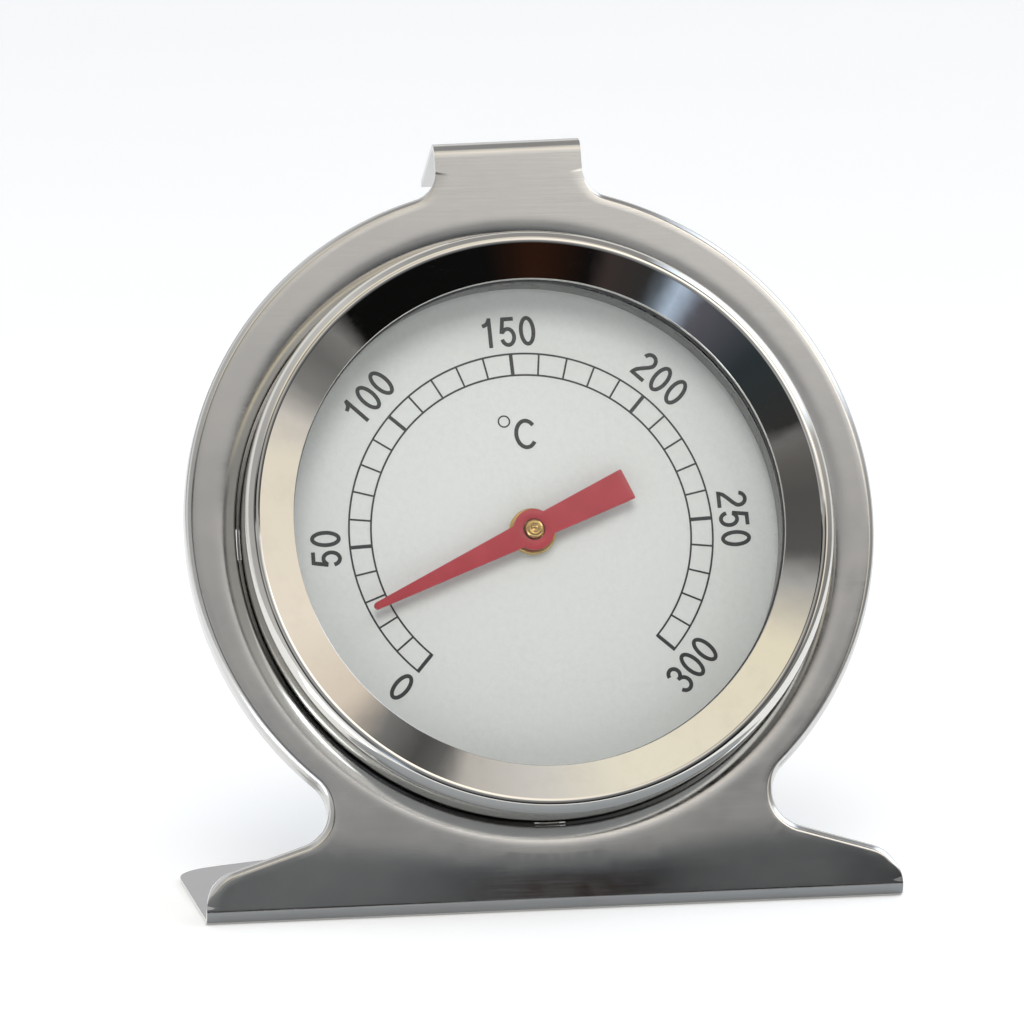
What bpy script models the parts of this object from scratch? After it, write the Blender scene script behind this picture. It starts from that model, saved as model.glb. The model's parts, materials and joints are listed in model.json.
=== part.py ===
"""Oven thermometer: a round bimetal dial gauge clamped in a folded sheet-steel stand.

Units are metres and +Z is up. The foot rests on z = 0, the dial faces -Y, and the middle of
the whole object's footprint is at x = y = 0. Everything except the world origin is placed in
the dial frame: an empty at the middle of the case whose +Z is the dial's outward normal, whose
+Y runs up the stand's leaning front, and whose z = 0 is the front surface of the stand's sheet.
"""
import math

import bmesh
import bpy
from mathutils import Matrix, Vector

# Driving dimensions of the stand
LEAN = math.radians(20.5)
SHEET = 0.0005
DISC_R = 0.03095
DISC_RISE = 0.00085
BASE_HALF_WIDTH = 0.0310
FOLD_Y = -0.03285
FOLD_R = 0.0011
FOOT_DEPTH = 0.0288
FOOT_BACK_R = 0.066
FOOT_CORNER_R = 0.0050
SHOULDER_SLOPE = math.radians(17.5)
SHOULDER_CORNER_R = 0.0036
SHOULDER_Y = -0.02985
SHOULDER_X = 0.0299
WAIST_R = 0.0032
NECK_HALF_WIDTH = 0.00665
NECK_FILLET_R = 0.0025
HOOK_Y = 0.0348
HOOK_R = 0.0013
HOOK_BEND = math.radians(97.0)
HOOK_LENGTH = 0.0088
RIM_DEPTH = 0.0020
RIM_INSET = 0.00005
HOLE_R = 0.0278
COLLAR_R = 0.02665
LEDGE_R = 0.0246
LEDGE_Z = -0.0020

# Driving dimensions of the case
FIT = 0.0003
BEZEL_OPENING_R = 0.0219
BEZEL_EDGE_Z = 0.00414
BEZEL_SLOPE = math.radians(14.7)
BEZEL_R = 0.0263
BEAD_R = 0.00105
BEZEL_SHEET = 0.0004
GASKET_GAP = 0.0002
GASKET_T = 0.0004
GASKET_R = 0.0218
GLASS_R = 0.0254
GLASS_T = 0.0012
GLASS_CHAMFER = 0.0002
SPACER_R = 0.0222
SPACER_T = 0.0004
DIAL_FRONT = -0.0012
DIAL_R = 0.0253
DIAL_T = 0.0005
CASE_FLANGE_R = 0.0255
CASE_CUP_R = 0.0236
CASE_BACK = -0.0126
CASE_SHEET = 0.0005
CASE_CORNER_R = 0.0018
VENT_R = 0.0012
VENT_CIRCLE_R = 0.0150
VENT_COUNT = 8
TAB_COUNT = 4
TAB_WIDTH = 0.0018
TAB_LIP = 0.0022
TAB_ROOT = 0.0010
TAB_THINNING = 0.0001
TAB_BEND_R = 0.00045
SLOT_INNER = 0.0010
SLOT_OUTER = 0.0001

# Driving dimensions of the movement
READING = math.radians(203.9)
NEEDLE_LENGTH = 0.01607
TAIL_LENGTH = 0.00956
HUB_R = 0.00185
NEEDLE_HALF = 0.00105
NEEDLE_TIP_HALF = 0.0004
TAIL_HALF = 0.0011
TAIL_END_HALF = 0.00145
POINTER_Z = 0.0
POINTER_T = 0.00035
POINTER_BORE_R = 0.0011
SPINDLE_HEAD_R = 0.00085
SPINDLE_HEAD_T = 0.00045
SPINDLE_HEAD_FOOT = 0.00015
SPINDLE_DOME = 0.0002
SPINDLE_R = 0.00055
BORE_R = 0.0008
BUSH_R = 0.0013
BUSH_HOLE_R = 0.0016
BUSH_FLANGE_R = 0.0021
BUSH_FLANGE_T = 0.00045
BUSH_END = 0.0004
WASHER_R = 0.0026
NUT_R = 0.0027
NUT_T = 0.0009
REAR_FLANGE_R = 0.0019
REAR_FLANGE_T = 0.00025
CLIP_R = 0.0017
CLIP_T = 0.0003
BRACKET_T = 0.0006
BRACKET_WIDTH = 0.0060
BRACKET_ARM_END = -0.0034
BRACKET_BEND_R = 0.0011
BRACKET_LEG_X = 0.0120
BRACKET_FRONT = -0.0020
BRACKET_BACK = -0.0101
COIL_FRONT = -0.0051
COIL_BACK = -0.0087
COIL_IN_R = 0.0018
COIL_OUT_R = 0.0085
COIL_TURNS = 6
COIL_T = 0.0004
COIL_TAIL_BEND_R = 0.0022
COIL_TAIL_END = 0.0018
COIL_TAIL_SPREAD = 1.02
RIVET_R = 0.0005
RIVET_HOLE_R = 0.0008
RIVET_HEAD_R = 0.0011
RIVET_HEAD_T = 0.0003
SPINDLE_END = -0.0116

RING_STEPS = 60
SMALL_STEPS = 20


def height_of(y, z):
    """World height of a point of the dial frame above the frame's own origin."""
    return y * math.cos(LEAN) + z * math.sin(LEAN)


def depth_of(y, z):
    """World depth (+Y) of a point of the dial frame behind the frame's own origin."""
    return y * math.sin(LEAN) - z * math.cos(LEAN)


def bead_centre():
    """Middle of the bezel's bead, tangent to the funnel face and to the side skirt."""
    radius = BEZEL_R - BEAD_R
    rise = (radius - BEZEL_OPENING_R) * math.tan(BEZEL_SLOPE)
    return radius, BEZEL_EDGE_Z + rise - BEAD_R / math.cos(BEZEL_SLOPE)


def dial_origin():
    """World place of the dial frame: the foot touches z = 0 and the depth is centred."""
    height = FOLD_R - height_of(FOLD_Y, -FOLD_R)
    bead_x, bead_z = bead_centre()
    front = depth_of(-bead_x, bead_z) - BEAD_R
    turn = HOOK_BEND
    tip_y = HOOK_Y + HOOK_R * math.sin(turn) + HOOK_LENGTH * math.cos(turn)
    tip_z = -HOOK_R + HOOK_R * math.cos(turn) - HOOK_LENGTH * math.sin(turn)
    back = depth_of(tip_y, tip_z)
    return Vector((0.0, -(front + back) / 2, height))


def arc(centre, radius, start, end, steps):
    """Points along an arc, both ends included, angles in radians."""
    return [
        (
            centre[0] + radius * math.cos(start + (end - start) * k / steps),
            centre[1] + radius * math.sin(start + (end - start) * k / steps),
        )
        for k in range(steps + 1)
    ]


def rounded(corners, steps=3):
    """A closed path through (x, y, radius) corners, each rounded by an arc."""
    path = []
    for k, (x, y, radius) in enumerate(corners):
        here = Vector((x, y))
        if radius <= 0:
            path.append((x, y))
            continue
        before = (Vector(corners[k - 1][:2]) - here).normalized()
        after = (Vector(corners[(k + 1) % len(corners)][:2]) - here).normalized()
        half = before.angle(after) / 2
        centre = here + (before + after).normalized() * radius / math.sin(half)
        first = here + before * radius / math.tan(half) - centre
        last = here + after * radius / math.tan(half) - centre
        start = math.atan2(first.y, first.x)
        sweep = math.remainder(math.atan2(last.y, last.x) - start, math.tau)
        path += arc(centre, radius, start, start + sweep, steps)
    return path


def clear_scene():
    for obj in list(bpy.data.objects):
        bpy.data.objects.remove(obj, do_unlink=True)


def new_collection(name):
    collection = bpy.data.collections.new(name)
    bpy.context.scene.collection.children.link(collection)
    return collection


def principled(name, colour, metallic, roughness, transmission=0.0):
    material = bpy.data.materials.new(name)
    material.use_nodes = True
    shader = material.node_tree.nodes["Principled BSDF"]
    shader.inputs["Base Color"].default_value = (*colour, 1.0)
    shader.inputs["Metallic"].default_value = metallic
    shader.inputs["Roughness"].default_value = roughness
    shader.inputs["Transmission Weight"].default_value = transmission
    material.diffuse_color = (*colour, 1.0)
    return material


def add_object(name, data, collection, material=None):
    """Link a new object in the dial frame."""
    obj = bpy.data.objects.new(name, data)
    collection.objects.link(obj)
    obj.parent = FRAME
    if material:
        data.materials.append(material)
    return obj


def smooth(obj, angle=35.0):
    obj.data.shade_smooth()
    obj.data.set_sharp_from_angle(angle=math.radians(angle))


def weigh_normals(obj):
    """Shade each face by its own area, so that flat faces stay flat next to round ones."""
    obj.modifiers.new("Weighted normals", "WEIGHTED_NORMAL")


def turned(name, profile, collection, material, closed=True, steps=RING_STEPS):
    """A solid of revolution about the dial frame's +Z, from an (r, z) profile that runs
    down its outer side. An open profile starts and ends on the axis."""
    mesh = bpy.data.meshes.new(name)
    edges = [(k, k + 1) for k in range(len(profile) - 1)]
    if closed:
        edges.append((len(profile) - 1, 0))
    mesh.from_pydata([(r, 0.0, z) for r, z in profile], edges, [])
    obj = add_object(name, mesh, collection, material)
    screw = obj.modifiers.new("Turn", "SCREW")
    screw.axis = "Z"
    screw.steps = steps
    screw.render_steps = steps
    screw.use_merge_vertices = True
    screw.merge_threshold = 0.00001
    screw.use_smooth_shade = True
    weigh_normals(obj)
    return obj


def ring(name, inner, outer, front, back, collection, material, steps=RING_STEPS):
    profile = [(inner, front), (outer, front), (outer, back), (inner, back)]
    return turned(name, profile, collection, material, steps=steps)


def baked_mesh(obj):
    """The object's evaluated mesh as a bmesh with its caps welded. The object is removed."""
    graph = bpy.context.evaluated_depsgraph_get()
    mesh = bpy.data.meshes.new_from_object(obj.evaluated_get(graph))
    bm = bmesh.new()
    bm.from_mesh(mesh)
    bmesh.ops.remove_doubles(bm, verts=bm.verts, dist=0.000001)
    bpy.data.meshes.remove(mesh)
    bpy.data.objects.remove(obj, do_unlink=True)
    return bm


def outline_bmesh(outlines, front, back):
    """A flat plate between two z levels. Outlines inside the first one are holes."""
    curve = bpy.data.curves.new("outline", "CURVE")
    curve.dimensions = "2D"
    curve.fill_mode = "BOTH"
    curve.extrude = (front - back) / 2
    for outline in outlines:
        spline = curve.splines.new("POLY")
        spline.points.add(len(outline) - 1)
        for point, (x, y) in zip(spline.points, outline):
            point.co = (x, y, 0.0, 1.0)
        spline.use_cyclic_u = True
    obj = add_object("outline", curve, HELPERS)
    bpy.context.view_layer.update()
    bm = baked_mesh(obj)
    bmesh.ops.translate(bm, verts=bm.verts, vec=(0.0, 0.0, (front + back) / 2))
    return bm


def mesh_object(name, bm, collection, material=None):
    bmesh.ops.recalc_face_normals(bm, faces=bm.faces)
    mesh = bpy.data.meshes.new(name)
    bm.to_mesh(mesh)
    bm.free()
    return add_object(name, mesh, collection, material)


def cutter(name, bm):
    obj = mesh_object(name, bm, HELPERS)
    obj.hide_render = True
    obj.display_type = "WIRE"
    return obj


def boolean(obj, other, operation):
    modifier = obj.modifiers.new(other.name, "BOOLEAN")
    modifier.operation = operation
    modifier.object = other
    modifier.solver = "EXACT"


def rod_bmesh(radius, start, end, steps=SMALL_STEPS):
    """A capped cylinder between two points."""
    bm = bmesh.new()
    span = Vector(end) - Vector(start)
    bmesh.ops.create_cone(
        bm, cap_ends=True, segments=steps, radius1=radius, radius2=radius, depth=span.length
    )
    turn = Vector((0.0, 0.0, 1.0)).rotation_difference(span).to_matrix()
    bmesh.ops.rotate(bm, verts=bm.verts, cent=(0.0, 0.0, 0.0), matrix=turn)
    bmesh.ops.translate(bm, verts=bm.verts, vec=(Vector(start) + Vector(end)) / 2)
    return bm


def joined(parts):
    """One bmesh that holds several, which don't touch each other."""
    whole = bmesh.new()
    for part in parts:
        mesh = bpy.data.meshes.new("part")
        part.to_mesh(mesh)
        part.free()
        whole.from_mesh(mesh)
        bpy.data.meshes.remove(mesh)
    return whole


def box_bmesh(low, high):
    bm = bmesh.new()
    bmesh.ops.create_cube(bm, size=1.0)
    size = [b - a for a, b in zip(low, high)]
    middle = [(a + b) / 2 for a, b in zip(low, high)]
    bmesh.ops.scale(bm, verts=bm.verts, vec=size)
    bmesh.ops.translate(bm, verts=bm.verts, vec=middle)
    return bm


def waist_centre():
    """Middle of the concave fillet that is tangent to the sloped shoulder and the disc."""
    along = Vector((-math.cos(SHOULDER_SLOPE), math.sin(SHOULDER_SLOPE)))
    outward = Vector((math.sin(SHOULDER_SLOPE), math.cos(SHOULDER_SLOPE)))
    rise = Vector((0.0, DISC_RISE))
    start = Vector((SHOULDER_X, SHOULDER_Y)) - rise + outward * WAIST_R
    reach = DISC_R + WAIST_R
    half_b = start.dot(along)
    slide = -half_b - math.sqrt(half_b**2 - start.dot(start) + reach**2)
    return start + along * slide + rise


def plate_edge(inset):
    """The stand's right-hand edge from its base corner up to the neck, moved inwards."""
    normal = math.pi / 2 - SHOULDER_SLOPE
    outward = Vector((math.sin(SHOULDER_SLOPE), math.cos(SHOULDER_SLOPE)))
    corner_x = BASE_HALF_WIDTH - SHOULDER_CORNER_R
    offset = (corner_x - SHOULDER_X) * outward.x + SHOULDER_CORNER_R
    corner_y = SHOULDER_Y - offset / outward.y
    waist = waist_centre()
    to_disc = math.atan2(DISC_RISE - waist.y, -waist.x)
    neck_x = NECK_HALF_WIDTH + NECK_FILLET_R
    neck_rise = math.sqrt((DISC_R + NECK_FILLET_R) ** 2 - neck_x**2)
    neck_y = DISC_RISE + neck_rise
    to_neck = math.atan2(neck_rise, neck_x)
    path = arc((corner_x, corner_y), SHOULDER_CORNER_R - inset, 0.0, normal, 6)
    path += arc(waist, WAIST_R + inset, normal + math.pi, to_disc, 10)
    path += arc((0.0, DISC_RISE), DISC_R - inset, to_disc - math.pi, to_neck, 24)
    path += arc((neck_x, neck_y), NECK_FILLET_R + inset, to_neck + math.pi, math.pi, 6)
    return path


def blank_outline():
    """The stand's sheet laid flat: foot, front and hook in one outline."""
    foot_start = FOLD_Y - (math.pi / 2 + LEAN) * (FOLD_R - SHEET / 2)
    back_y = foot_start - FOOT_DEPTH + FOOT_BACK_R
    corner_x = BASE_HALF_WIDTH - FOOT_CORNER_R
    reach = FOOT_BACK_R - FOOT_CORNER_R
    corner_y = back_y - math.sqrt(reach**2 - corner_x**2)
    turn = math.atan2(corner_y - back_y, corner_x)
    right = arc((0.0, back_y), FOOT_BACK_R, -math.pi / 2, turn, 10)
    right += arc((corner_x, corner_y), FOOT_CORNER_R, turn, 0.0, 6)[1:]
    right += plate_edge(0.0)
    flap_end = HOOK_Y + HOOK_BEND * (HOOK_R - SHEET / 2) + HOOK_LENGTH
    right.append((NECK_HALF_WIDTH, flap_end))
    return right + [(-x, y) for x, y in reversed(right[1:])]


def bent(point):
    """Where a point of the flat blank lies once the hook and the foot are folded back."""
    x, y, z = point
    for line, way, radius, bend in (
        (HOOK_Y, 1.0, HOOK_R, HOOK_BEND),
        (FOLD_Y, -1.0, FOLD_R, math.pi / 2 + LEAN),
    ):
        past = (y - line) * way
        if past <= 0:
            continue
        neutral = radius - SHEET / 2
        turn = min(past / neutral, bend)
        flat = past - turn * neutral
        reach = radius + z
        y = line + way * (reach * math.sin(turn) + flat * math.cos(turn))
        z = -radius + reach * math.cos(turn) - flat * math.sin(turn)
        break
    return x, y, z


def fold_blank(bm):
    """Cut the blank across each bend and fold it."""
    for line, way, radius, bend, steps in (
        (HOOK_Y, 1.0, HOOK_R, HOOK_BEND, 6),
        (FOLD_Y, -1.0, FOLD_R, math.pi / 2 + LEAN, 7),
    ):
        run = bend * (radius - SHEET / 2)
        for k in range(steps + 1):
            bmesh.ops.bisect_plane(
                bm,
                geom=bm.verts[:] + bm.edges[:] + bm.faces[:],
                plane_co=(0.0, line + way * run * k / steps, 0.0),
                plane_no=(0.0, 1.0, 0.0),
                dist=0.0000001,
            )
    for vertex in bm.verts:
        vertex.co = bent(vertex.co)


def collar_bmesh():
    """The drawn collar and seating ledge inside the stand's round hole, open at the hole."""
    front_r = HOLE_R - COLLAR_R
    back_r = front_r - SHEET
    quarter = math.pi / 2
    profile = arc((HOLE_R, -front_r), front_r, quarter, 2 * quarter, 4)
    profile += [(COLLAR_R, LEDGE_Z), (LEDGE_R, LEDGE_Z), (LEDGE_R, LEDGE_Z - SHEET)]
    profile += [(COLLAR_R + SHEET, LEDGE_Z - SHEET)]
    profile += arc((HOLE_R, -front_r), back_r, 2 * quarter, quarter, 4)
    obj = turned("collar", profile, HELPERS, None, closed=False)
    bpy.context.view_layer.update()
    return baked_mesh(obj)


def on_hole(face):
    return all(abs(math.hypot(v.co.x, v.co.y) - HOLE_R) < 0.00001 for v in face.verts)


def make_stand(material):
    hole = arc((0.0, 0.0), HOLE_R, 0.0, math.tau, RING_STEPS)[:-1]
    blank = outline_bmesh([blank_outline(), hole], 0.0, -SHEET)
    wall = [face for face in blank.faces if on_hole(face)]
    bmesh.ops.delete(blank, geom=wall, context="FACES")
    fold_blank(blank)
    whole = joined([blank, collar_bmesh()])
    bmesh.ops.remove_doubles(whole, verts=whole.verts, dist=0.000002)
    stand = mesh_object("stand_plate", whole, PARTS, material)
    rims = []
    for side in (1.0, -1.0):
        outer = plate_edge(RIM_INSET)
        inner = plate_edge(RIM_INSET + SHEET)
        band = [(side * x, y) for x, y in outer + inner[::-1]]
        rims.append(outline_bmesh([band], -SHEET / 2, -RIM_DEPTH))
    boolean(stand, cutter("rim_bands", joined(rims)), "UNION")
    boolean(stand, cutter("ledge_slots", joined(slot_boxes())), "DIFFERENCE")
    smooth(stand)
    return stand


def tab_angles():
    return [math.tau * k / TAB_COUNT for k in range(TAB_COUNT)]


def turned_copies(make, angles):
    """Boxes made at +X and swung round the axis to each angle."""
    copies = []
    for angle in angles:
        bm = make()
        turn = Matrix.Rotation(angle, 3, "Z")
        bmesh.ops.rotate(bm, verts=bm.verts, cent=(0.0, 0.0, 0.0), matrix=turn)
        copies.append(bm)
    return copies


def slot_boxes():
    half = TAB_WIDTH / 2 + FIT
    low = (BEZEL_R - SLOT_INNER, -half, LEDGE_Z - 2 * SHEET)
    high = (COLLAR_R - SLOT_OUTER, half, LEDGE_Z + SHEET)
    return turned_copies(lambda: box_bmesh(low, high), tab_angles())


def tab_solid():
    """A crimp tab, bent inwards behind the rear case's flange."""
    mid = BEZEL_R - BEZEL_SHEET / 2
    half = (BEZEL_SHEET - TAB_THINNING) / 2
    lip_front = case_flange_front() - CASE_SHEET - FIT
    lip_back = lip_front - BEZEL_SHEET
    side = [
        (mid + half, LEDGE_Z + TAB_ROOT, 0.0),
        (mid - half, LEDGE_Z + TAB_ROOT, 0.0),
        (mid - half, lip_front, 0.0),
        (BEZEL_R - TAB_LIP, lip_front, 0.0),
        (BEZEL_R - TAB_LIP, lip_back, 0.0),
        (mid + half, lip_back, TAB_BEND_R),
    ]
    bm = outline_bmesh([rounded(side)], TAB_WIDTH / 2, -TAB_WIDTH / 2)
    for vertex in bm.verts:
        x, y, z = vertex.co
        vertex.co = (x, z, y)
    bmesh.ops.recalc_face_normals(bm, faces=bm.faces)
    return bm


def case_flange_front():
    return LEDGE_Z - SHEET - FIT


def make_bezel(material):
    bead_x, bead_z = bead_centre()
    normal = math.pi / 2 + BEZEL_SLOPE
    skirt_end = LEDGE_Z + FIT
    outer = [(BEZEL_OPENING_R, BEZEL_EDGE_Z)]
    outer += arc((bead_x, bead_z), BEAD_R, normal, 0.0, 6)
    outer.append((BEZEL_R, skirt_end))
    inner = [(BEZEL_R - BEZEL_SHEET, skirt_end)]
    inner += arc((bead_x, bead_z), BEAD_R - BEZEL_SHEET, 0.0, normal, 3)
    inner.append((BEZEL_OPENING_R, BEZEL_EDGE_Z - BEZEL_SHEET / math.cos(BEZEL_SLOPE)))
    bezel = turned("bezel_ring", outer + inner, PARTS, material)
    tabs = turned_copies(tab_solid, tab_angles())
    boolean(bezel, cutter("crimp_tabs", joined(tabs)), "UNION")
    return bezel


def gasket_front():
    """The gasket's front face clears the underside of the bezel's sloped lip."""
    return BEZEL_EDGE_Z - BEZEL_SHEET / math.cos(BEZEL_SLOPE) - GASKET_GAP


def make_window(glass_material, gasket_material, steel):
    gasket_back = gasket_front() - GASKET_T
    ring(
        "glass_gasket",
        GASKET_R,
        GLASS_R,
        gasket_front(),
        gasket_back,
        PARTS,
        gasket_material,
    )
    glass_front = gasket_back - FIT
    glass_back = glass_front - GLASS_T
    profile = [(0.0, glass_front), (GLASS_R - GLASS_CHAMFER, glass_front)]
    profile += [(GLASS_R, glass_front - GLASS_CHAMFER), (GLASS_R, glass_back), (0.0, glass_back)]
    turned("front_glass", profile, PARTS, glass_material, closed=False)
    top = glass_back - FIT
    foot = DIAL_FRONT + FIT
    outer = SPACER_R + SPACER_T
    section = [(SPACER_R, top), (outer, top), (outer, foot + SPACER_T)]
    section += [(GLASS_R, foot + SPACER_T), (GLASS_R, foot), (SPACER_R, foot)]
    turned("spacer_ring", section, PARTS, steel)


def make_dial(material):
    ring(
        "dial_plate", BUSH_HOLE_R, DIAL_R, DIAL_FRONT, DIAL_FRONT - DIAL_T, PARTS, material
    )


def pointer_outline():
    """The needle along +X and the counterweight tail along -X, joined by the round hub."""
    needle_turn = math.asin(NEEDLE_HALF / HUB_R)
    tail_turn = math.pi - math.asin(TAIL_HALF / HUB_R)
    tip_x = NEEDLE_LENGTH - NEEDLE_TIP_HALF
    upper = arc((tip_x, 0.0), NEEDLE_TIP_HALF, 0.0, math.pi / 2, 4)
    upper += arc((0.0, 0.0), HUB_R, needle_turn, tail_turn, 8)
    upper.append((-TAIL_LENGTH, TAIL_END_HALF))
    return upper + [(x, -y) for x, y in reversed(upper[1:])]


def make_pointer(material):
    hole = arc((0.0, 0.0), POINTER_BORE_R, 0.0, math.tau, SMALL_STEPS)[:-1]
    bm = outline_bmesh([pointer_outline(), hole], POINTER_Z + POINTER_T, POINTER_Z)
    pointer = mesh_object("pointer", bm, PARTS, material)
    pointer.rotation_euler.z = READING
    return pointer


def make_spindle(brass, steel):
    head = POINTER_Z + POINTER_T + SPINDLE_HEAD_T
    head_foot = POINTER_Z - SPINDLE_HEAD_FOOT
    flat = SPINDLE_HEAD_R - SPINDLE_DOME
    profile = [(0.0, head - SPINDLE_DOME / 2), (flat / 2, head), (flat, head)]
    profile += [(SPINDLE_HEAD_R, head - SPINDLE_DOME), (SPINDLE_HEAD_R, head_foot)]
    profile += [(SPINDLE_R, head_foot), (SPINDLE_R, SPINDLE_END), (0.0, SPINDLE_END)]
    turned("spindle", profile, PARTS, brass, closed=False, steps=SMALL_STEPS)
    clip_back = SPINDLE_END + FIT
    ring(
        "spindle_clip", BORE_R, CLIP_R, clip_back + CLIP_T, clip_back, PARTS, steel, SMALL_STEPS
    )


def make_bushes(brass, steel):
    flange_back = DIAL_FRONT + FIT
    flange_front = flange_back + BUSH_FLANGE_T
    body_back = COIL_FRONT + BUSH_END
    profile = [(BORE_R, flange_front), (BUSH_FLANGE_R, flange_front)]
    profile += [(BUSH_FLANGE_R, flange_back), (BUSH_R, flange_back)]
    profile += [(BUSH_R, body_back), (BORE_R, body_back)]
    turned("bearing_bush", profile, PARTS, brass, steps=SMALL_STEPS)
    washer_front = BRACKET_FRONT - BRACKET_T - FIT
    washer_back = washer_front - FIT
    ring(
        "bush_washer", BUSH_HOLE_R, WASHER_R, washer_front, washer_back, PARTS, steel, SMALL_STEPS
    )
    nut_front = washer_back - FIT
    hexagon = arc((0.0, 0.0), NUT_R, 0.0, math.tau, 6)[:-1]
    hole = arc((0.0, 0.0), BUSH_HOLE_R, 0.0, math.tau, SMALL_STEPS)[:-1]
    bm = outline_bmesh([hexagon, hole], nut_front, nut_front - NUT_T)
    mesh_object("bush_nut", bm, PARTS, brass)
    rear_flange_back = BRACKET_BACK + BRACKET_T + FIT
    rear_flange_front = rear_flange_back + REAR_FLANGE_T
    rear_end = BRACKET_BACK - BUSH_END
    profile = [(BORE_R, rear_flange_front), (REAR_FLANGE_R, rear_flange_front)]
    profile += [(REAR_FLANGE_R, rear_flange_back), (BUSH_R, rear_flange_back)]
    profile += [(BUSH_R, rear_end), (BORE_R, rear_end)]
    turned("rear_bush", profile, PARTS, brass, steps=SMALL_STEPS)


def make_bracket(material):
    """A strip bent into a C, seen along Y: front arm, leg and rear arm."""
    outer_x = BRACKET_LEG_X
    inner_x = BRACKET_LEG_X - BRACKET_T
    end = BRACKET_ARM_END
    bend = BRACKET_BEND_R
    side = [
        (end, BRACKET_FRONT, 0.0),
        (outer_x, BRACKET_FRONT, bend),
        (outer_x, BRACKET_BACK, bend),
        (end, BRACKET_BACK, 0.0),
        (end, BRACKET_BACK + BRACKET_T, 0.0),
        (inner_x, BRACKET_BACK + BRACKET_T, bend - BRACKET_T),
        (inner_x, BRACKET_FRONT - BRACKET_T, bend - BRACKET_T),
        (end, BRACKET_FRONT - BRACKET_T, 0.0),
    ]
    bm = outline_bmesh([rounded(side)], BRACKET_WIDTH / 2, -BRACKET_WIDTH / 2)
    for vertex in bm.verts:
        x, y, z = vertex.co
        vertex.co = (x, z, y)
    bracket = mesh_object("movement_bracket", bm, PARTS, material)
    drills = [
        rod_bmesh(BUSH_HOLE_R, (0.0, 0.0, BRACKET_BACK - 0.001), (0.0, 0.0, 0.0)),
        rivet_drill(),
    ]
    boolean(bracket, cutter("bracket_holes", joined(drills)), "DIFFERENCE")
    smooth(bracket)


def rivet_height():
    return (COIL_FRONT + COIL_BACK) / 2


def rivet_drill():
    """The rivet's hole through the coil's tail and the bracket's leg."""
    middle = rivet_height()
    inside = (BRACKET_LEG_X - 4 * BRACKET_T, 0.0, middle)
    outside = (BRACKET_LEG_X + 2 * BRACKET_T, 0.0, middle)
    return rod_bmesh(RIVET_HOLE_R, inside, outside)


def coil_path():
    """Middle line of the coil's strip: a spiral, then a tail that lies on the leg."""
    points_a_turn = 28
    total = COIL_TURNS * points_a_turn
    end_angle = math.radians(-80.0)
    path = []
    for k in range(total + 1):
        angle = end_angle - math.tau * (total - k) / points_a_turn
        radius = COIL_IN_R + (COIL_OUT_R - COIL_IN_R) * k / total
        path.append(Vector((radius * math.cos(angle), radius * math.sin(angle))))
    leg_face = BRACKET_LEG_X - BRACKET_T - FIT - COIL_T / 2
    bend_r = COIL_TAIL_BEND_R
    corner_y = path[-1].y * COIL_TAIL_SPREAD
    path += [
        Vector(point)
        for point in arc((leg_face - bend_r, corner_y + bend_r), bend_r, -math.pi / 2, 0.0, 5)
    ]
    path.append(Vector((leg_face, COIL_TAIL_END)))
    return path


def make_coil(material):
    path = coil_path()
    left = []
    right = []
    for k, point in enumerate(path):
        ahead = path[min(k + 1, len(path) - 1)]
        behind = path[max(k - 1, 0)]
        along = (ahead - behind).normalized()
        side = Vector((-along.y, along.x)) * COIL_T / 2
        left.append(tuple(point + side))
        right.append(tuple(point - side))
    bm = outline_bmesh([left + right[::-1]], COIL_FRONT, COIL_BACK)
    coil = mesh_object("bimetal_coil", bm, PARTS, material)
    boolean(coil, cutter("coil_rivet_hole", rivet_drill()), "DIFFERENCE")
    smooth(coil)


def make_coil_fixings(brass, steel):
    collet_r = COIL_IN_R - COIL_T / 2 - FIT
    ring("coil_collet", BORE_R, collet_r, COIL_FRONT, COIL_BACK, PARTS, brass, SMALL_STEPS)
    inner = BRACKET_LEG_X - BRACKET_T - 2 * FIT - COIL_T
    outer = BRACKET_LEG_X + FIT
    profile = [(0.0, inner - RIVET_HEAD_T), (RIVET_HEAD_R, inner - RIVET_HEAD_T)]
    profile += [(RIVET_HEAD_R, inner), (RIVET_R, inner), (RIVET_R, outer)]
    profile += [(RIVET_HEAD_R, outer), (RIVET_HEAD_R, outer + RIVET_HEAD_T)]
    profile += [(0.0, outer + RIVET_HEAD_T)]
    rivet = turned(
        "coil_rivet", profile[::-1], PARTS, steel, closed=False, steps=SMALL_STEPS
    )
    rivet.rotation_euler.y = math.pi / 2
    rivet.location.z = rivet_height()


def make_case(material):
    front = case_flange_front()
    corner = CASE_CORNER_R
    inner_r = CASE_CUP_R - CASE_SHEET
    inner_back = CASE_BACK + CASE_SHEET
    quarter = math.pi / 2
    profile = [(0.0, inner_back)]
    profile += arc(
        (CASE_CUP_R - corner, CASE_BACK + corner), corner - CASE_SHEET, -quarter, 0.0, 3
    )
    profile += [(inner_r, front), (CASE_FLANGE_R, front), (CASE_FLANGE_R, front - CASE_SHEET)]
    profile += [(CASE_CUP_R, front - CASE_SHEET)]
    profile += arc((CASE_CUP_R - corner, CASE_BACK + corner), corner, 0.0, -quarter, 3)
    profile.append((0.0, CASE_BACK))
    case = turned("rear_case", profile, PARTS, material, closed=False)
    spots = arc((0.0, 0.0), VENT_CIRCLE_R, 0.0, math.tau, VENT_COUNT)[:-1]
    drills = [
        rod_bmesh(VENT_R, (x, y, CASE_BACK - 0.001), (x, y, CASE_BACK + 0.001), 16)
        for x, y in spots
    ]
    boolean(case, cutter("vent_drills", joined(drills)), "DIFFERENCE")
    return case


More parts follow.
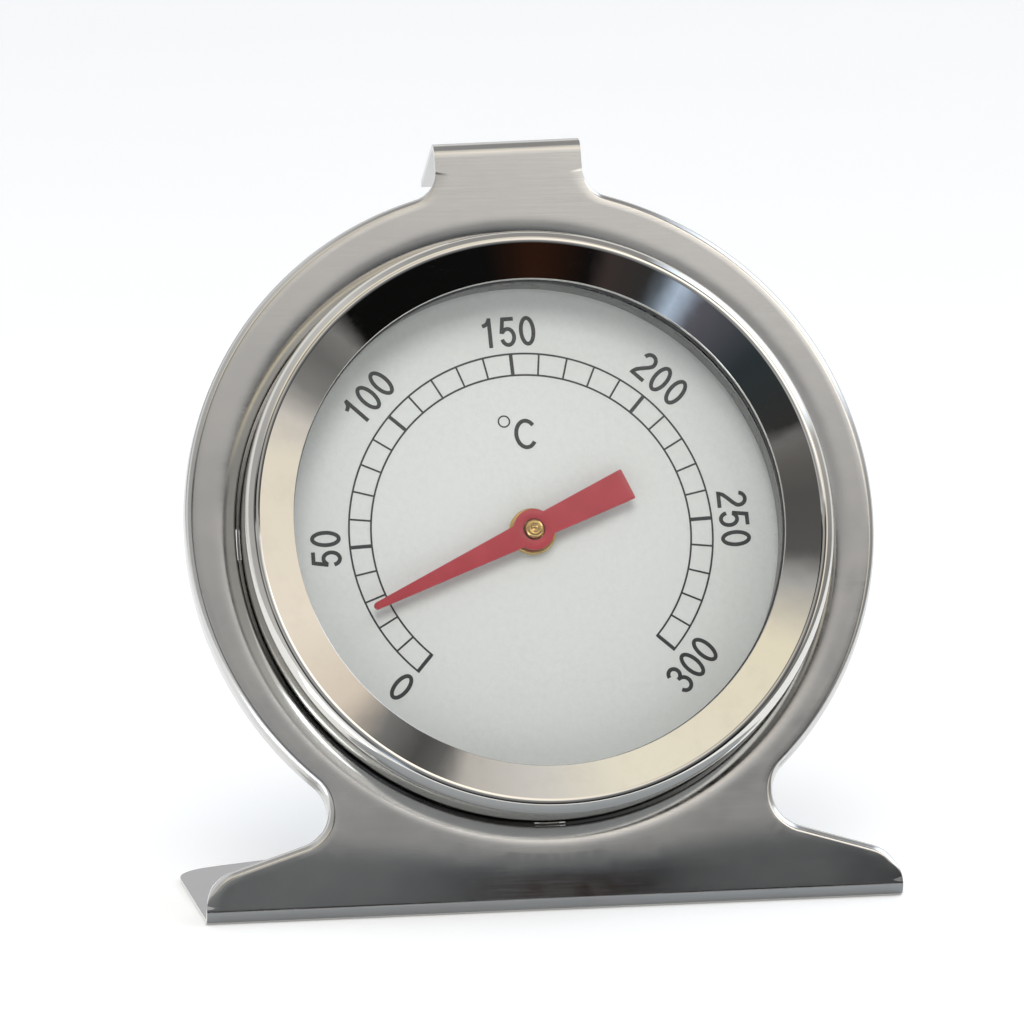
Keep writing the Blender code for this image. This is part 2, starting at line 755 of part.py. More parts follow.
clear_scene()
PARTS = new_collection("oven_thermometer")
HELPERS = new_collection("cutters")
FRAME = bpy.data.objects.new("dial_frame", None)
PARTS.objects.link(FRAME)
FRAME.location = dial_origin()
FRAME.rotation_euler.x = math.pi / 2 - LEAN

BRUSHED = principled("brushed_stainless", (0.60, 0.59, 0.56), 1.0, 0.34)
POLISHED = principled("polished_stainless", (0.72, 0.70, 0.66), 1.0, 0.08)
PLATED = principled("plated_steel", (0.55, 0.55, 0.54), 1.0, 0.30)
BRASS = principled("brass", (0.80, 0.58, 0.22), 1.0, 0.22)
BIMETAL = principled("bimetal_strip", (0.46, 0.42, 0.36), 1.0, 0.35)
RED = principled("red_lacquer", (0.42, 0.03, 0.04), 0.0, 0.40)
SILVER_DIAL = principled("silver_dial", (0.62, 0.65, 0.61), 0.2, 0.60)
GLASS = principled("window_glass", (0.95, 0.98, 0.97), 0.0, 0.02, transmission=1.0)
DARK_SEAL = principled("dark_seal", (0.03, 0.03, 0.03), 0.0, 0.70)

make_stand(BRUSHED)
make_bezel(POLISHED)
make_window(GLASS, DARK_SEAL, PLATED)
make_dial(SILVER_DIAL)
make_pointer(RED)
make_spindle(BRASS, PLATED)
make_bushes(BRASS, PLATED)
make_bracket(PLATED)
make_coil(BIMETAL)
make_coil_fixings(BRASS, PLATED)
make_case(PLATED)
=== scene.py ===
"""Looks of the oven thermometer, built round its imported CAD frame.

Everything is in metres. Each visible piece is modelled in the dial frame, which is read from the
pointer's joint: its +Z is the dial's outward normal, its +Y runs up the leaning front, and its
z = 0 is the front surface of the stand's sheet. Most lengths below repeat the CAD's driving
sizes, and the rest belong to finer shapes that the CAD leaves out, such as the soft crease.
"""
import json
import math

import bmesh
import bpy
import numpy as np
from mathutils import Matrix, Vector
from mathutils.geometry import delaunay_2d_cdt


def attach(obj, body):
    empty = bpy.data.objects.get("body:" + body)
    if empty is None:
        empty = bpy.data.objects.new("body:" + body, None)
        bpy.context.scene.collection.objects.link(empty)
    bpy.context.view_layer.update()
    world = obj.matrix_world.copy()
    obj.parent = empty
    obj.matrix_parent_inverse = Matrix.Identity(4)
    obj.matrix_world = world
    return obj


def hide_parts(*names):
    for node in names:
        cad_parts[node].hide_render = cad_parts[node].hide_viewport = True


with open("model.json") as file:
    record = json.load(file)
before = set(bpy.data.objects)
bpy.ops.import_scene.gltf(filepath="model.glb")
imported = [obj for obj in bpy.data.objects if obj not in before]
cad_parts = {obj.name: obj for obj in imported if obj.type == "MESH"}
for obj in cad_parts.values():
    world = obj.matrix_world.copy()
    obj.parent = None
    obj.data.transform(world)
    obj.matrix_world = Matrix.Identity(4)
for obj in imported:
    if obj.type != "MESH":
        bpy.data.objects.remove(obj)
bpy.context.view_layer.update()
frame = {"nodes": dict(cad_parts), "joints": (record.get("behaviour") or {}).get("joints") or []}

MM = 0.001

# The stand's sheet
SHEET = 0.5 * MM
DISC_R = 30.95 * MM
DISC_RISE = 0.85 * MM
BASE_HALF_WIDTH = 31.0 * MM
FOLD_Y = -32.85 * MM
FOLD_R = 1.1 * MM
FOOT_DEPTH = 28.8 * MM
FOOT_BACK_R = 66.0 * MM
FOOT_CORNER_R = 5.0 * MM
SHOULDER_SLOPE = math.radians(17.5)
SHOULDER_CORNER_R = 3.6 * MM
SHOULDER_Y = -29.85 * MM
SHOULDER_X = 29.9 * MM
WAIST_R = 3.2 * MM
NECK_HALF_WIDTH = 6.65 * MM
NECK_FILLET_R = 2.5 * MM
HOOK_Y = 34.79 * MM
HOOK_R = 1.3 * MM
HOOK_BEND = math.radians(97.0)
HOOK_LENGTH = 8.8 * MM
HOOK_SKEW = math.radians(1.2)
HOOK_LEAD = 0.3 * MM
RIM_DEPTH = 2.0 * MM
RIM_R = 0.70 * MM
RIM_INSET = 1.15 * MM
ROLL_FADE_FOOT = 2.4 * MM
ROLL_FADE_NECK = 4.0 * MM
DISH_R = 29.1 * MM
COLLAR_R = 26.47 * MM
SHOULDER_DEPTH = 0.8 * MM
SHOULDER_POWER = 3.5
LEDGE_R = 24.6 * MM
LEDGE_Z = -2.0 * MM
STRIP_DROP = 0.55 * MM
CREASE_SOFT = 1.2 * MM
CREASE_EASE = 2.5 * MM
# (x, height above the fold) in mm of the soft crease that the folding leaves in the front
CREASE_LINE = [
    (-31, 4.6), (-24, 5.4), (-17, 5.2), (-8, 3.6), (0, 2.7), (8, 3.1),
    (15, 4.6), (19, 5.0), (24, 4.7), (28, 4.0), (31, 3.5),
]

# The case
FIT = 0.3 * MM
BEZEL_OPENING_R = 21.9 * MM
BEZEL_EDGE_Z = 4.14 * MM
BEZEL_SLOPE = math.radians(14.7)
BEZEL_R = 26.3 * MM
BEAD_R = 1.05 * MM
BEZEL_SHEET = 0.4 * MM
BEZEL_LIP_R = 0.07 * MM
BEZEL_LIP_LIFT = 0.03 * MM
GASKET_GAP = 0.2 * MM
GASKET_T = 0.4 * MM
GASKET_R = 21.8 * MM
GLASS_R = 25.4 * MM
GLASS_T = 1.2 * MM
GLASS_CHAMFER = 0.2 * MM
SPACER_R = 22.2 * MM
SPACER_T = 0.4 * MM
DIAL_FRONT = -1.2 * MM
DIAL_R = 25.3 * MM
DIAL_T = 0.5 * MM
CASE_FLANGE_R = 25.5 * MM
CASE_CUP_R = 23.6 * MM
CASE_BACK = -12.6 * MM
CASE_SHEET = 0.5 * MM
CASE_CORNER_R = 1.8 * MM
CASE_FLANGE_BEND_R = 0.6 * MM
CASE_FLANGE_FRONT = LEDGE_Z - SHEET - FIT
VENT_R = 1.2 * MM
VENT_LIP_R = 0.35 * MM
VENT_CIRCLE_R = 15.0 * MM
VENT_COUNT = 8
TAB_COUNT = 4
TAB_WIDTH = 1.8 * MM
TAB_LIP = 2.2 * MM
TAB_ROOT = 1.0 * MM
TAB_THINNING = 0.05 * MM
TAB_INNER_BEND_R = 0.08 * MM
TAB_OUTER_BEND_R = 0.42 * MM
SLOT_INNER = 1.0 * MM
SLOT_PLAY = 0.05 * MM

# The pointer and what it turns on
READING = math.radians(203.9)
NEEDLE_LENGTH = 16.07 * MM
NEEDLE_HALF = 1.05 * MM
NEEDLE_TIP_HALF = 0.32 * MM
TAIL_LENGTH = 9.56 * MM
TAIL_HALF = 1.10 * MM
TAIL_END_HALF = 1.45 * MM
TAIL_CORNER_R = 0.12 * MM
HUB_R = 1.85 * MM
POINTER_T = 0.35 * MM
HEAD_R = 0.85 * MM
HEAD_T = 0.45 * MM
HEAD_FOOT = -0.15 * MM
HEAD_PLAY = 0.12 * MM
HEAD_EASE = 0.30 * MM
HEAD_DOME = 0.25 * MM
DIMPLE_R = 0.34 * MM
DIMPLE_DEPTH = 0.18 * MM
DIMPLE_RIM = 0.02 * MM
DIMPLE_LIP = 0.05 * MM
SPINDLE_R = 0.55 * MM
SPINDLE_END = -11.6 * MM
SPINDLE_CHAMFER = 0.1 * MM
BORE_R = 0.8 * MM
BUSH_R = 1.3 * MM
BUSH_HOLE_R = 1.6 * MM
BUSH_FLANGE_R = 2.1 * MM
BUSH_FLANGE_T = 0.45 * MM
BUSH_BACK = -4.7 * MM

# The printed scale
SCALE_R = 16.35 * MM
SCALE_INNER = 0.88
SCALE_START = math.radians(225.0)
SCALE_SWEEP = math.radians(270.0)
SCALE_END = 300
PRINT_TURN = math.radians(2.8)
PRINT_T = 0.012 * MM
FINE_LINE = 0.17 * MM
BOLD_LINE = 0.33 * MM
DIGIT_H = 2.73 * MM
UNIT_H = 1.02 * DIGIT_H
GLYPH_LINE = 0.13
GLYPH_GAP = 0.655
DEGREE_R = 0.5 * MM
DEGREE_LINE = 0.14 * MM
# A number, its place over the scale's radius, and its turn in degrees
LABELS = [
    ("0", (-0.767, -0.823), 317), ("50", (-1.13, -0.05), 90), ("100", (-0.847, 0.78), 46),
    ("150", (-0.057, 1.123), 2), ("200", (0.773, 0.833), -44), ("250", (1.123, 0.04), -88),
    ("300", (0.833, -0.76), 47),
]

# Sides of a full turn
STEPS = 360


def dial_place():
    """The dial frame in the world, from the pointer's joint."""
    joint = frame["joints"][0]
    out = -Vector(joint["axis"]).normalized()
    across = Vector((1.0, 0.0, 0.0))
    up = out.cross(across).normalized()
    place = Matrix((across, up, out)).transposed().to_4x4()
    place.translation = Vector(joint["pos_m"])
    return place


PLACE = dial_place()
LEAN = math.atan2(PLACE[2][2], PLACE[2][1])
FOOT_TURN = math.pi / 2 + LEAN
# The middle of the foot's bend
BEND_Y = FOLD_Y + STRIP_DROP * math.tan(LEAN)
BEND_Z = -FOLD_R - STRIP_DROP


# ---------------------------------------------------------------- outlines and meshes


def arc(centre, radius, start, end, steps):
    """Points along an arc, both ends included. The radius may be one number or (x, y)."""
    rx, ry = radius if isinstance(radius, tuple) else (radius, radius)
    return [
        (
            centre[0] + rx * math.cos(start + (end - start) * k / steps),
            centre[1] + ry * math.sin(start + (end - start) * k / steps),
        )
        for k in range(steps + 1)
    ]


def circle(radius, steps=STEPS, centre=(0.0, 0.0)):
    return arc(centre, radius, 0.0, math.tau, steps)[:-1]


def rounded(corners, steps=4):
    """A closed path through (x, y, radius) corners, each rounded by an arc."""
    path = []
    for k, (x, y, radius) in enumerate(corners):
        here = Vector((x, y))
        if radius <= 0:
            path.append((x, y))
            continue
        before = (Vector(corners[k - 1][:2]) - here).normalized()
        after = (Vector(corners[(k + 1) % len(corners)][:2]) - here).normalized()
        half = before.angle(after) / 2
        centre = here + (before + after).normalized() * radius / math.sin(half)
        first = here + before * radius / math.tan(half) - centre
        last = here + after * radius / math.tan(half) - centre
        start = math.atan2(first.y, first.x)
        sweep = math.remainder(math.atan2(last.y, last.x) - start, math.tau)
        path += arc(centre, radius, start, start + sweep, steps)
    return path


def grid(rows, loop=False):
    """Quads between equal rows of points. A loop also joins each row's end to its start."""
    width = len(rows[0])
    faces = []
    for i in range(len(rows) - 1):
        for j in range(width if loop else width - 1):
            a = i * width + j
            b = i * width + (j + 1) % width
            faces.append((a, b, b + width, a + width))
    return [point for row in rows for point in row], faces


def lathe(profile, start=0.0, sweep=math.tau, steps=STEPS, loop=False):
    """The (r, z) profile turned about +Z. A partial turn of a closed profile gets end caps."""
    rows = [
        [(r * math.cos(a), r * math.sin(a), z) for r, z in profile]
        for a in (start + sweep * k / steps for k in range(steps + 1))
    ]
    points, faces = grid(rows, loop)
    if loop and sweep < math.tau - 0.001:
        width = len(profile)
        faces.append(tuple(range(width))[::-1])
        faces.append(tuple(range(steps * width, (steps + 1) * width)))
    return points, faces


def region(outline, holes, spacing, z=0.0):
    """Triangles of about one size that fill an outline round its ((x, y), radius, steps) holes."""
    loops = [list(outline)] + [circle(r, n, c) for c, r, n in holes]
    points = [point for loop in loops for point in loop]
    edges = []
    first = 0
    for loop in loops:
        edges += [(first + k, first + (k + 1) % len(loop)) for k in range(len(loop))]
        first += len(loop)
    fixed = np.array(points)
    low, high = fixed.min(0), fixed.max(0)
    for x in np.arange(low[0], high[0], spacing):
        for y in np.arange(low[1], high[1], spacing):
            if np.hypot(*(fixed - (x, y)).T).min() > 0.6 * spacing:
                points.append((float(x), float(y)))
    flat = [Vector((x / MM, y / MM)) for x, y in points]
    verts, _, triangles, _, _, _ = delaunay_2d_cdt(flat, edges, [], 1, 0.00001)
    kept = []
    for triangle in triangles:
        middle = sum((verts[k] for k in triangle), Vector((0.0, 0.0))) * (MM / len(triangle))
        if all(math.hypot(middle.x - c[0], middle.y - c[1]) > r for c, r, _ in holes):
            kept.append(tuple(triangle))
    return [(v.x * MM, v.y * MM, z) for v in verts], kept


def build(parts, weld=0.001 * MM):
    """One bmesh of several (points, faces) parts, welded where they meet."""
    bm = bmesh.new()
    for points, faces in parts:
        verts = [bm.verts.new(point) for point in points]
        for face in faces:
            bm.faces.new([verts[k] for k in face])
    if weld:
        bmesh.ops.remove_doubles(bm, verts=bm.verts, dist=weld)
        bmesh.ops.dissolve_degenerate(bm, edges=bm.edges, dist=weld / 4)
    loose = [vert for vert in bm.verts if not vert.link_faces]
    bmesh.ops.delete(bm, geom=loose, context="VERTS")
    return bm


def face_front(bm):
    """Turn an open sheet's faces so that the large flat ones look along +Z."""
    bmesh.ops.recalc_face_normals(bm, faces=bm.faces)
    if sum(face.normal.z * face.calc_area() for face in bm.faces) < 0:
        bmesh.ops.reverse_faces(bm, faces=bm.faces)


def linked(name, data):
    """A new object in the scene that shows the data."""
    obj = bpy.data.objects.new(name, data)
    bpy.context.scene.collection.objects.link(obj)
    return obj


def piece(name, bm, body, material, replaces=(), sheet=0.0, bevel=0.0, sharp=35.0):
    """A finished piece in the dial frame, with its thickness and its broken edges."""
    mesh = bpy.data.meshes.new(name)
    bm.to_mesh(mesh)
    bm.free()
    obj = linked(name, mesh)
    mesh.materials.append(material)
    mesh.shade_smooth()
    if sheet:
        solid = obj.modifiers.new("Thickness", "SOLIDIFY")
        solid.thickness = sheet
        solid.offset = -1.0
        solid.use_even_offset = False
    if bevel:
        edge = obj.modifiers.new("Broken edges", "BEVEL")
        edge.width = bevel
        edge.segments = 2
        edge.limit_method = "ANGLE"
        edge.angle_limit = math.radians(50.0)
    graph = bpy.context.evaluated_depsgraph_get()
    final = bpy.data.meshes.new_from_object(obj.evaluated_get(graph))
    obj.modifiers.clear()
    obj.data = final
    bpy.data.meshes.remove(mesh)
    final.name = name
    final.transform(PLACE)
    final.shade_smooth()
    final.set_sharp_from_angle(angle=math.radians(sharp))
    obj.modifiers.new("Weighted normals", "WEIGHTED_NORMAL").keep_sharp = True
    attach(obj, body)
    if replaces:
        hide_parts(*replaces)
    return obj


# ---------------------------------------------------------------- materials


class Nodes:
    """Makes nodes in one node tree."""

    def __init__(self, tree):
        self.tree = tree

    def node(self, kind, inputs=(), **settings):
        made = self.tree.nodes.new(kind)
        for key, value in settings.items():
            setattr(made, key, value)
        for key, value in dict(inputs).items():
            if isinstance(value, bpy.types.NodeSocket):
                self.tree.links.new(value, made.inputs[key])
            else:
                made.inputs[key].default_value = value
        return made

    def maths(self, operation, a, b=0.0, c=0.0):
        return self.node("ShaderNodeMath", {0: a, 1: b, 2: c}, operation=operation).outputs[0]

    def mix(self, share, a, b):
        inputs = {0: share, 6: a, 7: b}
        return self.node("ShaderNodeMix", inputs, data_type="RGBA").outputs[2]

    def ease(self, value, start, end, low=0.0, high=1.0):
        """Goes smoothly from low to high as the value goes from start to end."""
        inputs = {0: value, 1: start, 2: end, 3: low, 4: high}
        return self.node("ShaderNodeMapRange", inputs, interpolation_type="SMOOTHSTEP").outputs[0]


class Finish(Nodes):
    """A Principled material built up from layers of noise laid out in the dial frame."""

    def __init__(self, name, colour, metallic, roughness):
        self.material = bpy.data.materials.new(name)
        self.material.use_nodes = True
        super().__init__(self.material.node_tree)
        self.shader = self.tree.nodes["Principled BSDF"]
        self.material.diffuse_color = (*colour, 1.0)
        self.shader.inputs["Metallic"].default_value = metallic
        self.shader.inputs["Roughness"].default_value = roughness
        self.shader.inputs["Base Color"].default_value = (*colour, 1.0)
        self.colour = (*colour, 1.0)
        self.roughness = roughness
        self.height = None
        point = self.node("ShaderNodeTexCoord").outputs["Object"]
        inputs = {"Vector": point, "Location": PLACE.translation, "Rotation": PLACE.to_euler()}
        self.place = self.node("ShaderNodeMapping", inputs, vector_type="TEXTURE").outputs[0]

    def ring_space(self):
        """Radius, arc and height about the dial's axis, so that grain runs round it."""
        part = self.node("ShaderNodeSeparateXYZ", {0: self.place}).outputs
        squares = self.maths("MULTIPLY_ADD", part[0], part[0], self.maths("MULTIPLY", part[1], part[1]))
        radius = self.maths("SQRT", squares)
        turn = self.maths("MULTIPLY", self.maths("ARCTAN2", part[1], part[0]), 0.01)
        return self.node("ShaderNodeCombineXYZ", {0: radius, 1: turn, 2: part[2]}).outputs[0]

    def noise(self, size, detail=3.0, space=None):
        """Noise whose features are about size (x, y, z) metres, from 0 to 1."""
        scale = tuple(1.0 / s for s in (size if isinstance(size, tuple) else (size,) * 3))
        place = self.place if space is None else space
        moved = self.node("ShaderNodeMapping", {"Vector": place, "Scale": scale}).outputs[0]
        settings = {"Vector": moved, "Scale": 1.0, "Detail": detail, "Roughness": 0.6}
        return self.node("ShaderNodeTexNoise", settings).outputs[0]

    def tint(self, value, colour, share=1.0, start=0.3, end=0.7):
        """Mix the colour towards another where the noise is high."""
        factor = self.ease(value, start, end, 0.0, share)
        self.colour = self.mix(factor, self.colour, (*colour, 1.0))

    def rough(self, value, change, start=0.3, end=0.7):
        """Raise or lower the roughness where the noise is high."""
        self.roughness = self.maths("ADD", self.roughness, self.ease(value, start, end, -change, change))

    def bump(self, value, depth):
        """Add relief, depth in metres from the noise's low to its high."""
        relief = self.maths("MULTIPLY", value, depth)
        self.height = relief if self.height is None else self.maths("ADD", self.height, relief)

    def done(self, **sockets):
        for socket, value in (("Base Color", self.colour), ("Roughness", self.roughness)):
            if isinstance(value, bpy.types.NodeSocket):
                self.tree.links.new(value, self.shader.inputs[socket])
        if self.height is not None:
            inputs = {"Height": self.height, "Distance": 1.0, "Strength": 1.0}
            normal = self.node("ShaderNodeBump", inputs).outputs[0]
            self.tree.links.new(normal, self.shader.inputs["Normal"])
        for key, value in sockets.items():
            self.shader.inputs[key.replace("_", " ")].default_value = value
        return self.material


def brushed_steel():
    finish = Finish("brushed_stainless", (0.63, 0.625, 0.61), 1.0, 0.165)
    grain = finish.noise((9 * MM, 0.09 * MM, 0.09 * MM), 3.0)
    cloud = finish.noise((11 * MM, 6 * MM, 6 * MM), 4.0)
    smudge = finish.noise(3.5 * MM, 5.0)
    speck = finish.noise(0.35 * MM, 2.0)
    finish.tint(cloud, (0.68, 0.67, 0.65), 0.7)
    finish.tint(grain, (0.57, 0.565, 0.555), 0.4)
    finish.tint(smudge, (0.57, 0.56, 0.55), 0.3, 0.5, 0.75)
    finish.tint(speck, (0.47, 0.46, 0.45), 0.25, 0.66, 0.78)
    finish.rough(grain, 0.03)
    finish.rough(cloud, 0.02)
    finish.rough(smudge, 0.02)
    finish.bump(grain, 0.0004 * MM)
    finish.bump(smudge, 0.003 * MM)
    return finish.done()


def polished_steel():
    finish = Finish("polished_stainless", (0.70, 0.685, 0.65), 1.0, 0.06)
    space = finish.ring_space()
    spin = finish.noise((0.05 * MM, 2.2 * MM, 0.05 * MM), 2.0, space)
    wave = finish.noise(5 * MM, 2.0)
    haze = finish.noise(2.4 * MM, 5.0)
    fleck = finish.noise(0.16 * MM, 2.0)
    finish.tint(haze, (0.62, 0.60, 0.57), 0.35, 0.45, 0.75)
    finish.rough(haze, 0.025)
    finish.rough(spin, 0.015)
    finish.rough(fleck, 0.03, 0.6, 0.75)
    finish.bump(spin, 0.00012 * MM)
    finish.bump(wave, 0.010 * MM)
    return finish.done()


def plated_steel(name, shade):
    finish = Finish(name, (shade, shade, 0.98 * shade), 1.0, 0.27)
    space = finish.ring_space()
    drawn = finish.noise((0.25 * MM, 6 * MM, 4 * MM), 3.0, space)
    cloud = finish.noise(4 * MM, 5.0)
    speck = finish.noise(0.3 * MM, 3.0)
    finish.tint(cloud, (1.15 * shade, 1.13 * shade, 1.08 * shade), 0.6)
    finish.tint(speck, (0.7 * shade, 0.7 * shade, 0.69 * shade), 0.35, 0.62, 0.76)
    finish.rough(cloud, 0.05)
    finish.rough(drawn, 0.03)
    finish.bump(drawn, 0.0007 * MM)
    finish.bump(speck, 0.0008 * MM)
    return finish.done()


def dial_silver():
    finish = Finish("silver_dial", (0.65, 0.669, 0.647), 0.0, 0.55)
    grit = finish.noise(0.14 * MM, 3.0)
    mottle = finish.noise(0.6 * MM, 4.0)
    cloud = finish.noise(9 * MM, 3.0)
    finish.tint(grit, (0.701, 0.718, 0.695), 0.8, 0.35, 0.65)
    finish.tint(mottle, (0.61, 0.627, 0.608), 0.5, 0.4, 0.7)
    finish.tint(cloud, (0.678, 0.689, 0.667), 0.4)
    finish.rough(grit, 0.08)
    finish.bump(grit, 0.0030 * MM)
    return finish.done()


def print_ink():
    finish = Finish("print_ink", (0.012, 0.012, 0.014), 0.0, 0.42)
    grit = finish.noise(0.12 * MM, 3.0)
    finish.tint(grit, (0.035, 0.036, 0.038), 0.8, 0.4, 0.7)
    finish.rough(grit, 0.06)
    finish.bump(grit, 0.0015 * MM)
    return finish.done()


def red_lacquer():
    finish = Finish("red_lacquer", (0.34, 0.018, 0.03), 0.0, 0.36)
    peel = finish.noise(0.35 * MM, 2.0)
    cloud = finish.noise(2.5 * MM, 3.0)
    grit = finish.noise(0.09 * MM, 2.0)
    finish.tint(cloud, (0.40, 0.03, 0.043), 0.8)
    finish.tint(grit, (0.25, 0.013, 0.02), 0.5, 0.6, 0.75)
    finish.rough(peel, 0.06)
    finish.bump(peel, 0.004 * MM)
    return finish.done(Coat_Weight=0.25, Coat_Roughness=0.18)


def brass():
    finish = Finish("brass", (0.74, 0.50, 0.18), 1.0, 0.22)
    space = finish.ring_space()
    turned = finish.noise((0.035 * MM, 4 * MM, 0.035 * MM), 2.0, space)
    stain = finish.noise(0.9 * MM, 4.0)
    finish.tint(stain, (0.60, 0.38, 0.13), 0.6)
    finish.tint(turned, (0.84, 0.62, 0.27), 0.4)
    finish.rough(stain, 0.06)
    finish.rough(turned, 0.04)
    finish.bump(turned, 0.0006 * MM)
    return finish.done()


def bimetal():
    finish = Finish("bimetal_strip", (0.46, 0.42, 0.36), 1.0, 0.34)
    rolled = finish.noise((0.9 * MM, 0.9 * MM, 0.06 * MM), 3.0)
    heat = finish.noise(2.2 * MM, 4.0)
    finish.tint(heat, (0.50, 0.37, 0.24), 0.7)
    finish.tint(rolled, (0.36, 0.34, 0.31), 0.4)
    finish.rough(heat, 0.07)
    finish.bump(rolled, 0.0009 * MM)
    return finish.done()


def seal_rubber():
    finish = Finish("dark_seal", (0.045, 0.045, 0.047), 0.0, 0.62)
    grit = finish.noise(0.10 * MM, 3.0)
    dust = finish.noise(0.7 * MM, 4.0)
    finish.tint(dust, (0.10, 0.10, 0.10), 0.5, 0.5, 0.8)
    finish.rough(grit, 0.1)
    finish.bump(grit, 0.004 * MM)
    return finish.done()


def window_glass():
    """A pane seen straight through: only the share of light that glass mirrors is drawn."""
    finish = Finish("window_glass", (0.90, 0.95, 0.93), 1.0, 0.02)
    smear = finish.noise((5 * MM, 2 * MM, 2 * MM), 5.0)
    dust = finish.noise(0.25 * MM, 2.0)
    finish.rough(smear, 0.018)
    finish.rough(dust, 0.05, 0.66, 0.78)
    finish.bump(smear, 0.0006 * MM)
    return finish.done(Alpha=0.04)


STEEL = brushed_steel()
MIRROR = polished_steel()
PLATED = plated_steel("plated_steel", 0.52)
# A darker copy of the plated steel for the spacer's recessed wall: painted shade, for the recess's shade
# and the dark that the wall mirrors.
PLATED_PAINTED_SHADE = plated_steel("plated_steel_painted_shade", 0.27)
SILVER = dial_silver()
INK = print_ink()
RED = red_lacquer()
BRASS = brass()
BIMETAL = bimetal()
SEAL = seal_rubber()
GLASS = window_glass()


# ---------------------------------------------------------------- the stand


def plate_edge(inset):
    """The stand's right-hand edge from its base corner up to the neck, moved inwards."""
    normal = math.pi / 2 - SHOULDER_SLOPE
    outward = Vector((math.sin(SHOULDER_SLOPE), math.cos(SHOULDER_SLOPE)))
    along = Vector((-outward.y, outward.x))
    rise = Vector((0.0, DISC_RISE))
    start = Vector((SHOULDER_X, SHOULDER_Y)) - rise + outward * WAIST_R
    half_b = start.dot(along)
    reach = DISC_R + WAIST_R
    waist = start + along * (-half_b - math.sqrt(half_b**2 - start.dot(start) + reach**2)) + rise
    to_disc = math.atan2(DISC_RISE - waist.y, -waist.x)
    neck_x = NECK_HALF_WIDTH + NECK_FILLET_R
    neck_rise = math.sqrt((DISC_R + NECK_FILLET_R) ** 2 - neck_x**2)
    neck_y = DISC_RISE + neck_rise
    to_neck = math.atan2(neck_rise, neck_x)
    corner = (BASE_HALF_WIDTH - SHOULDER_CORNER_R, base_corner_y())
    path = arc(corner, SHOULDER_CORNER_R - inset, 0.0, normal, 16)
    hollow = arc(waist, WAIST_R + inset, normal + math.pi, to_disc, 26)
    for k in range(1, 6):
        path.append(tuple(Vector(path[16]).lerp(Vector(hollow[0]), k / 6)))
    path += hollow
    path += arc((0.0, DISC_RISE), DISC_R - inset, to_disc - math.pi, to_neck, 130)[1:]
    path += arc((neck_x, neck_y), NECK_FILLET_R + inset, to_neck + math.pi, math.pi, 20)[1:]
    return path


def base_corner_y():
    outward = Vector((math.sin(SHOULDER_SLOPE), math.cos(SHOULDER_SLOPE)))
    corner_x = BASE_HALF_WIDTH - SHOULDER_CORNER_R
    return SHOULDER_Y - ((corner_x - SHOULDER_X) * outward.x + SHOULDER_CORNER_R) / outward.y


def smoothstep(value):
    t = min(max(value, 0.0), 1.0)
    return t * t * (3.0 - 2.0 * t)


def rim_section(depth):
    """(inset, z) across the rolled edge, from the flat plate to the flange's lower edge."""
    radius = RIM_R * depth
    section = [(RIM_INSET, 0.0)]
    section += [
        (radius * (1.0 - math.sin(a)), -radius * (1.0 - math.cos(a)))
        for a in (math.pi / 2 * k / 8 for k in range(9))
    ]
    section += [(0.0, -(RIM_R + (RIM_DEPTH - RIM_R) * k / 3) * depth) for k in range(1, 4)]
    return section


def rim_band(side):
    """The rolled edge along one side of the plate; it fades out at the base and the neck."""
    outer = [Vector(point) for point in plate_edge(0.0)][1:]
    inner = [Vector(point) for point in plate_edge(RIM_INSET)][1:]
    walked = [0.0]
    for a, b in zip(outer, outer[1:]):
        walked.append(walked[-1] + (b - a).length)
    rows = []
    for k, (out_point, in_point) in enumerate(zip(outer, inner)):
        fade = smoothstep(walked[k] / ROLL_FADE_FOOT)
        fade *= smoothstep((walked[-1] - walked[k]) / ROLL_FADE_NECK)
        row = []
        for inset, z in rim_section(fade):
            point = out_point.lerp(in_point, inset / RIM_INSET)
            row.append((side * point.x, point.y, z))
        rows.append(row)
    return grid(rows)


def foot_bend_end():
    """Where the flat foot starts on the blank, past the fold."""
    return FOLD_Y - FOOT_TURN * (FOLD_R - SHEET / 2)


def foot_columns():
    """The foot's edge from the middle of its back to its right-hand side."""
    middle_y = foot_bend_end() - FOOT_DEPTH + FOOT_BACK_R
    corner_x = BASE_HALF_WIDTH - FOOT_CORNER_R
    corner_y = middle_y - math.sqrt((FOOT_BACK_R - FOOT_CORNER_R) ** 2 - corner_x**2)
    turn = math.atan2(corner_y - middle_y, corner_x)
    edge = arc((0.0, middle_y), FOOT_BACK_R, -math.pi / 2, turn, 26)
    edge += arc((corner_x, corner_y), FOOT_CORNER_R, turn, 0.0, 12)[1:]
    return [(-x, y) for x, y in reversed(edge[1:])] + edge


def foot_grid(columns):
    """Fold and foot on the flat blank, from the base corners back."""
    top = base_corner_y()
    end = foot_bend_end()
    rows = [[(x, top, 0.0) for x, _ in columns]]
    rows += [[(x, FOLD_Y + (end - FOLD_Y) * k / 18, 0.0) for x, _ in columns] for k in range(19)]
    rows += [[(x, end + (y - end) * k / 12, 0.0) for x, y in columns] for k in range(1, 13)]
    return grid(rows)


def hook_rows():
    """Distances past the hook's fold line: a flat lead, then close together round the bend."""
    end = HOOK_BEND * (HOOK_R - SHEET / 2)
    rows = [-HOOK_LEAD] + [end * k / 20 for k in range(21)]
    return rows + [end + HOOK_LENGTH * k / 6 for k in range(1, 7)]


def crease_height(x):
    """The crease's height above the fold, eased between the listed places."""
    places, heights = (np.array(values, float) * MM for values in zip(*CREASE_LINE))
    spread = np.linspace(-CREASE_EASE, CREASE_EASE, 11)
    return float(np.interp(x + spread, places, heights).mean())


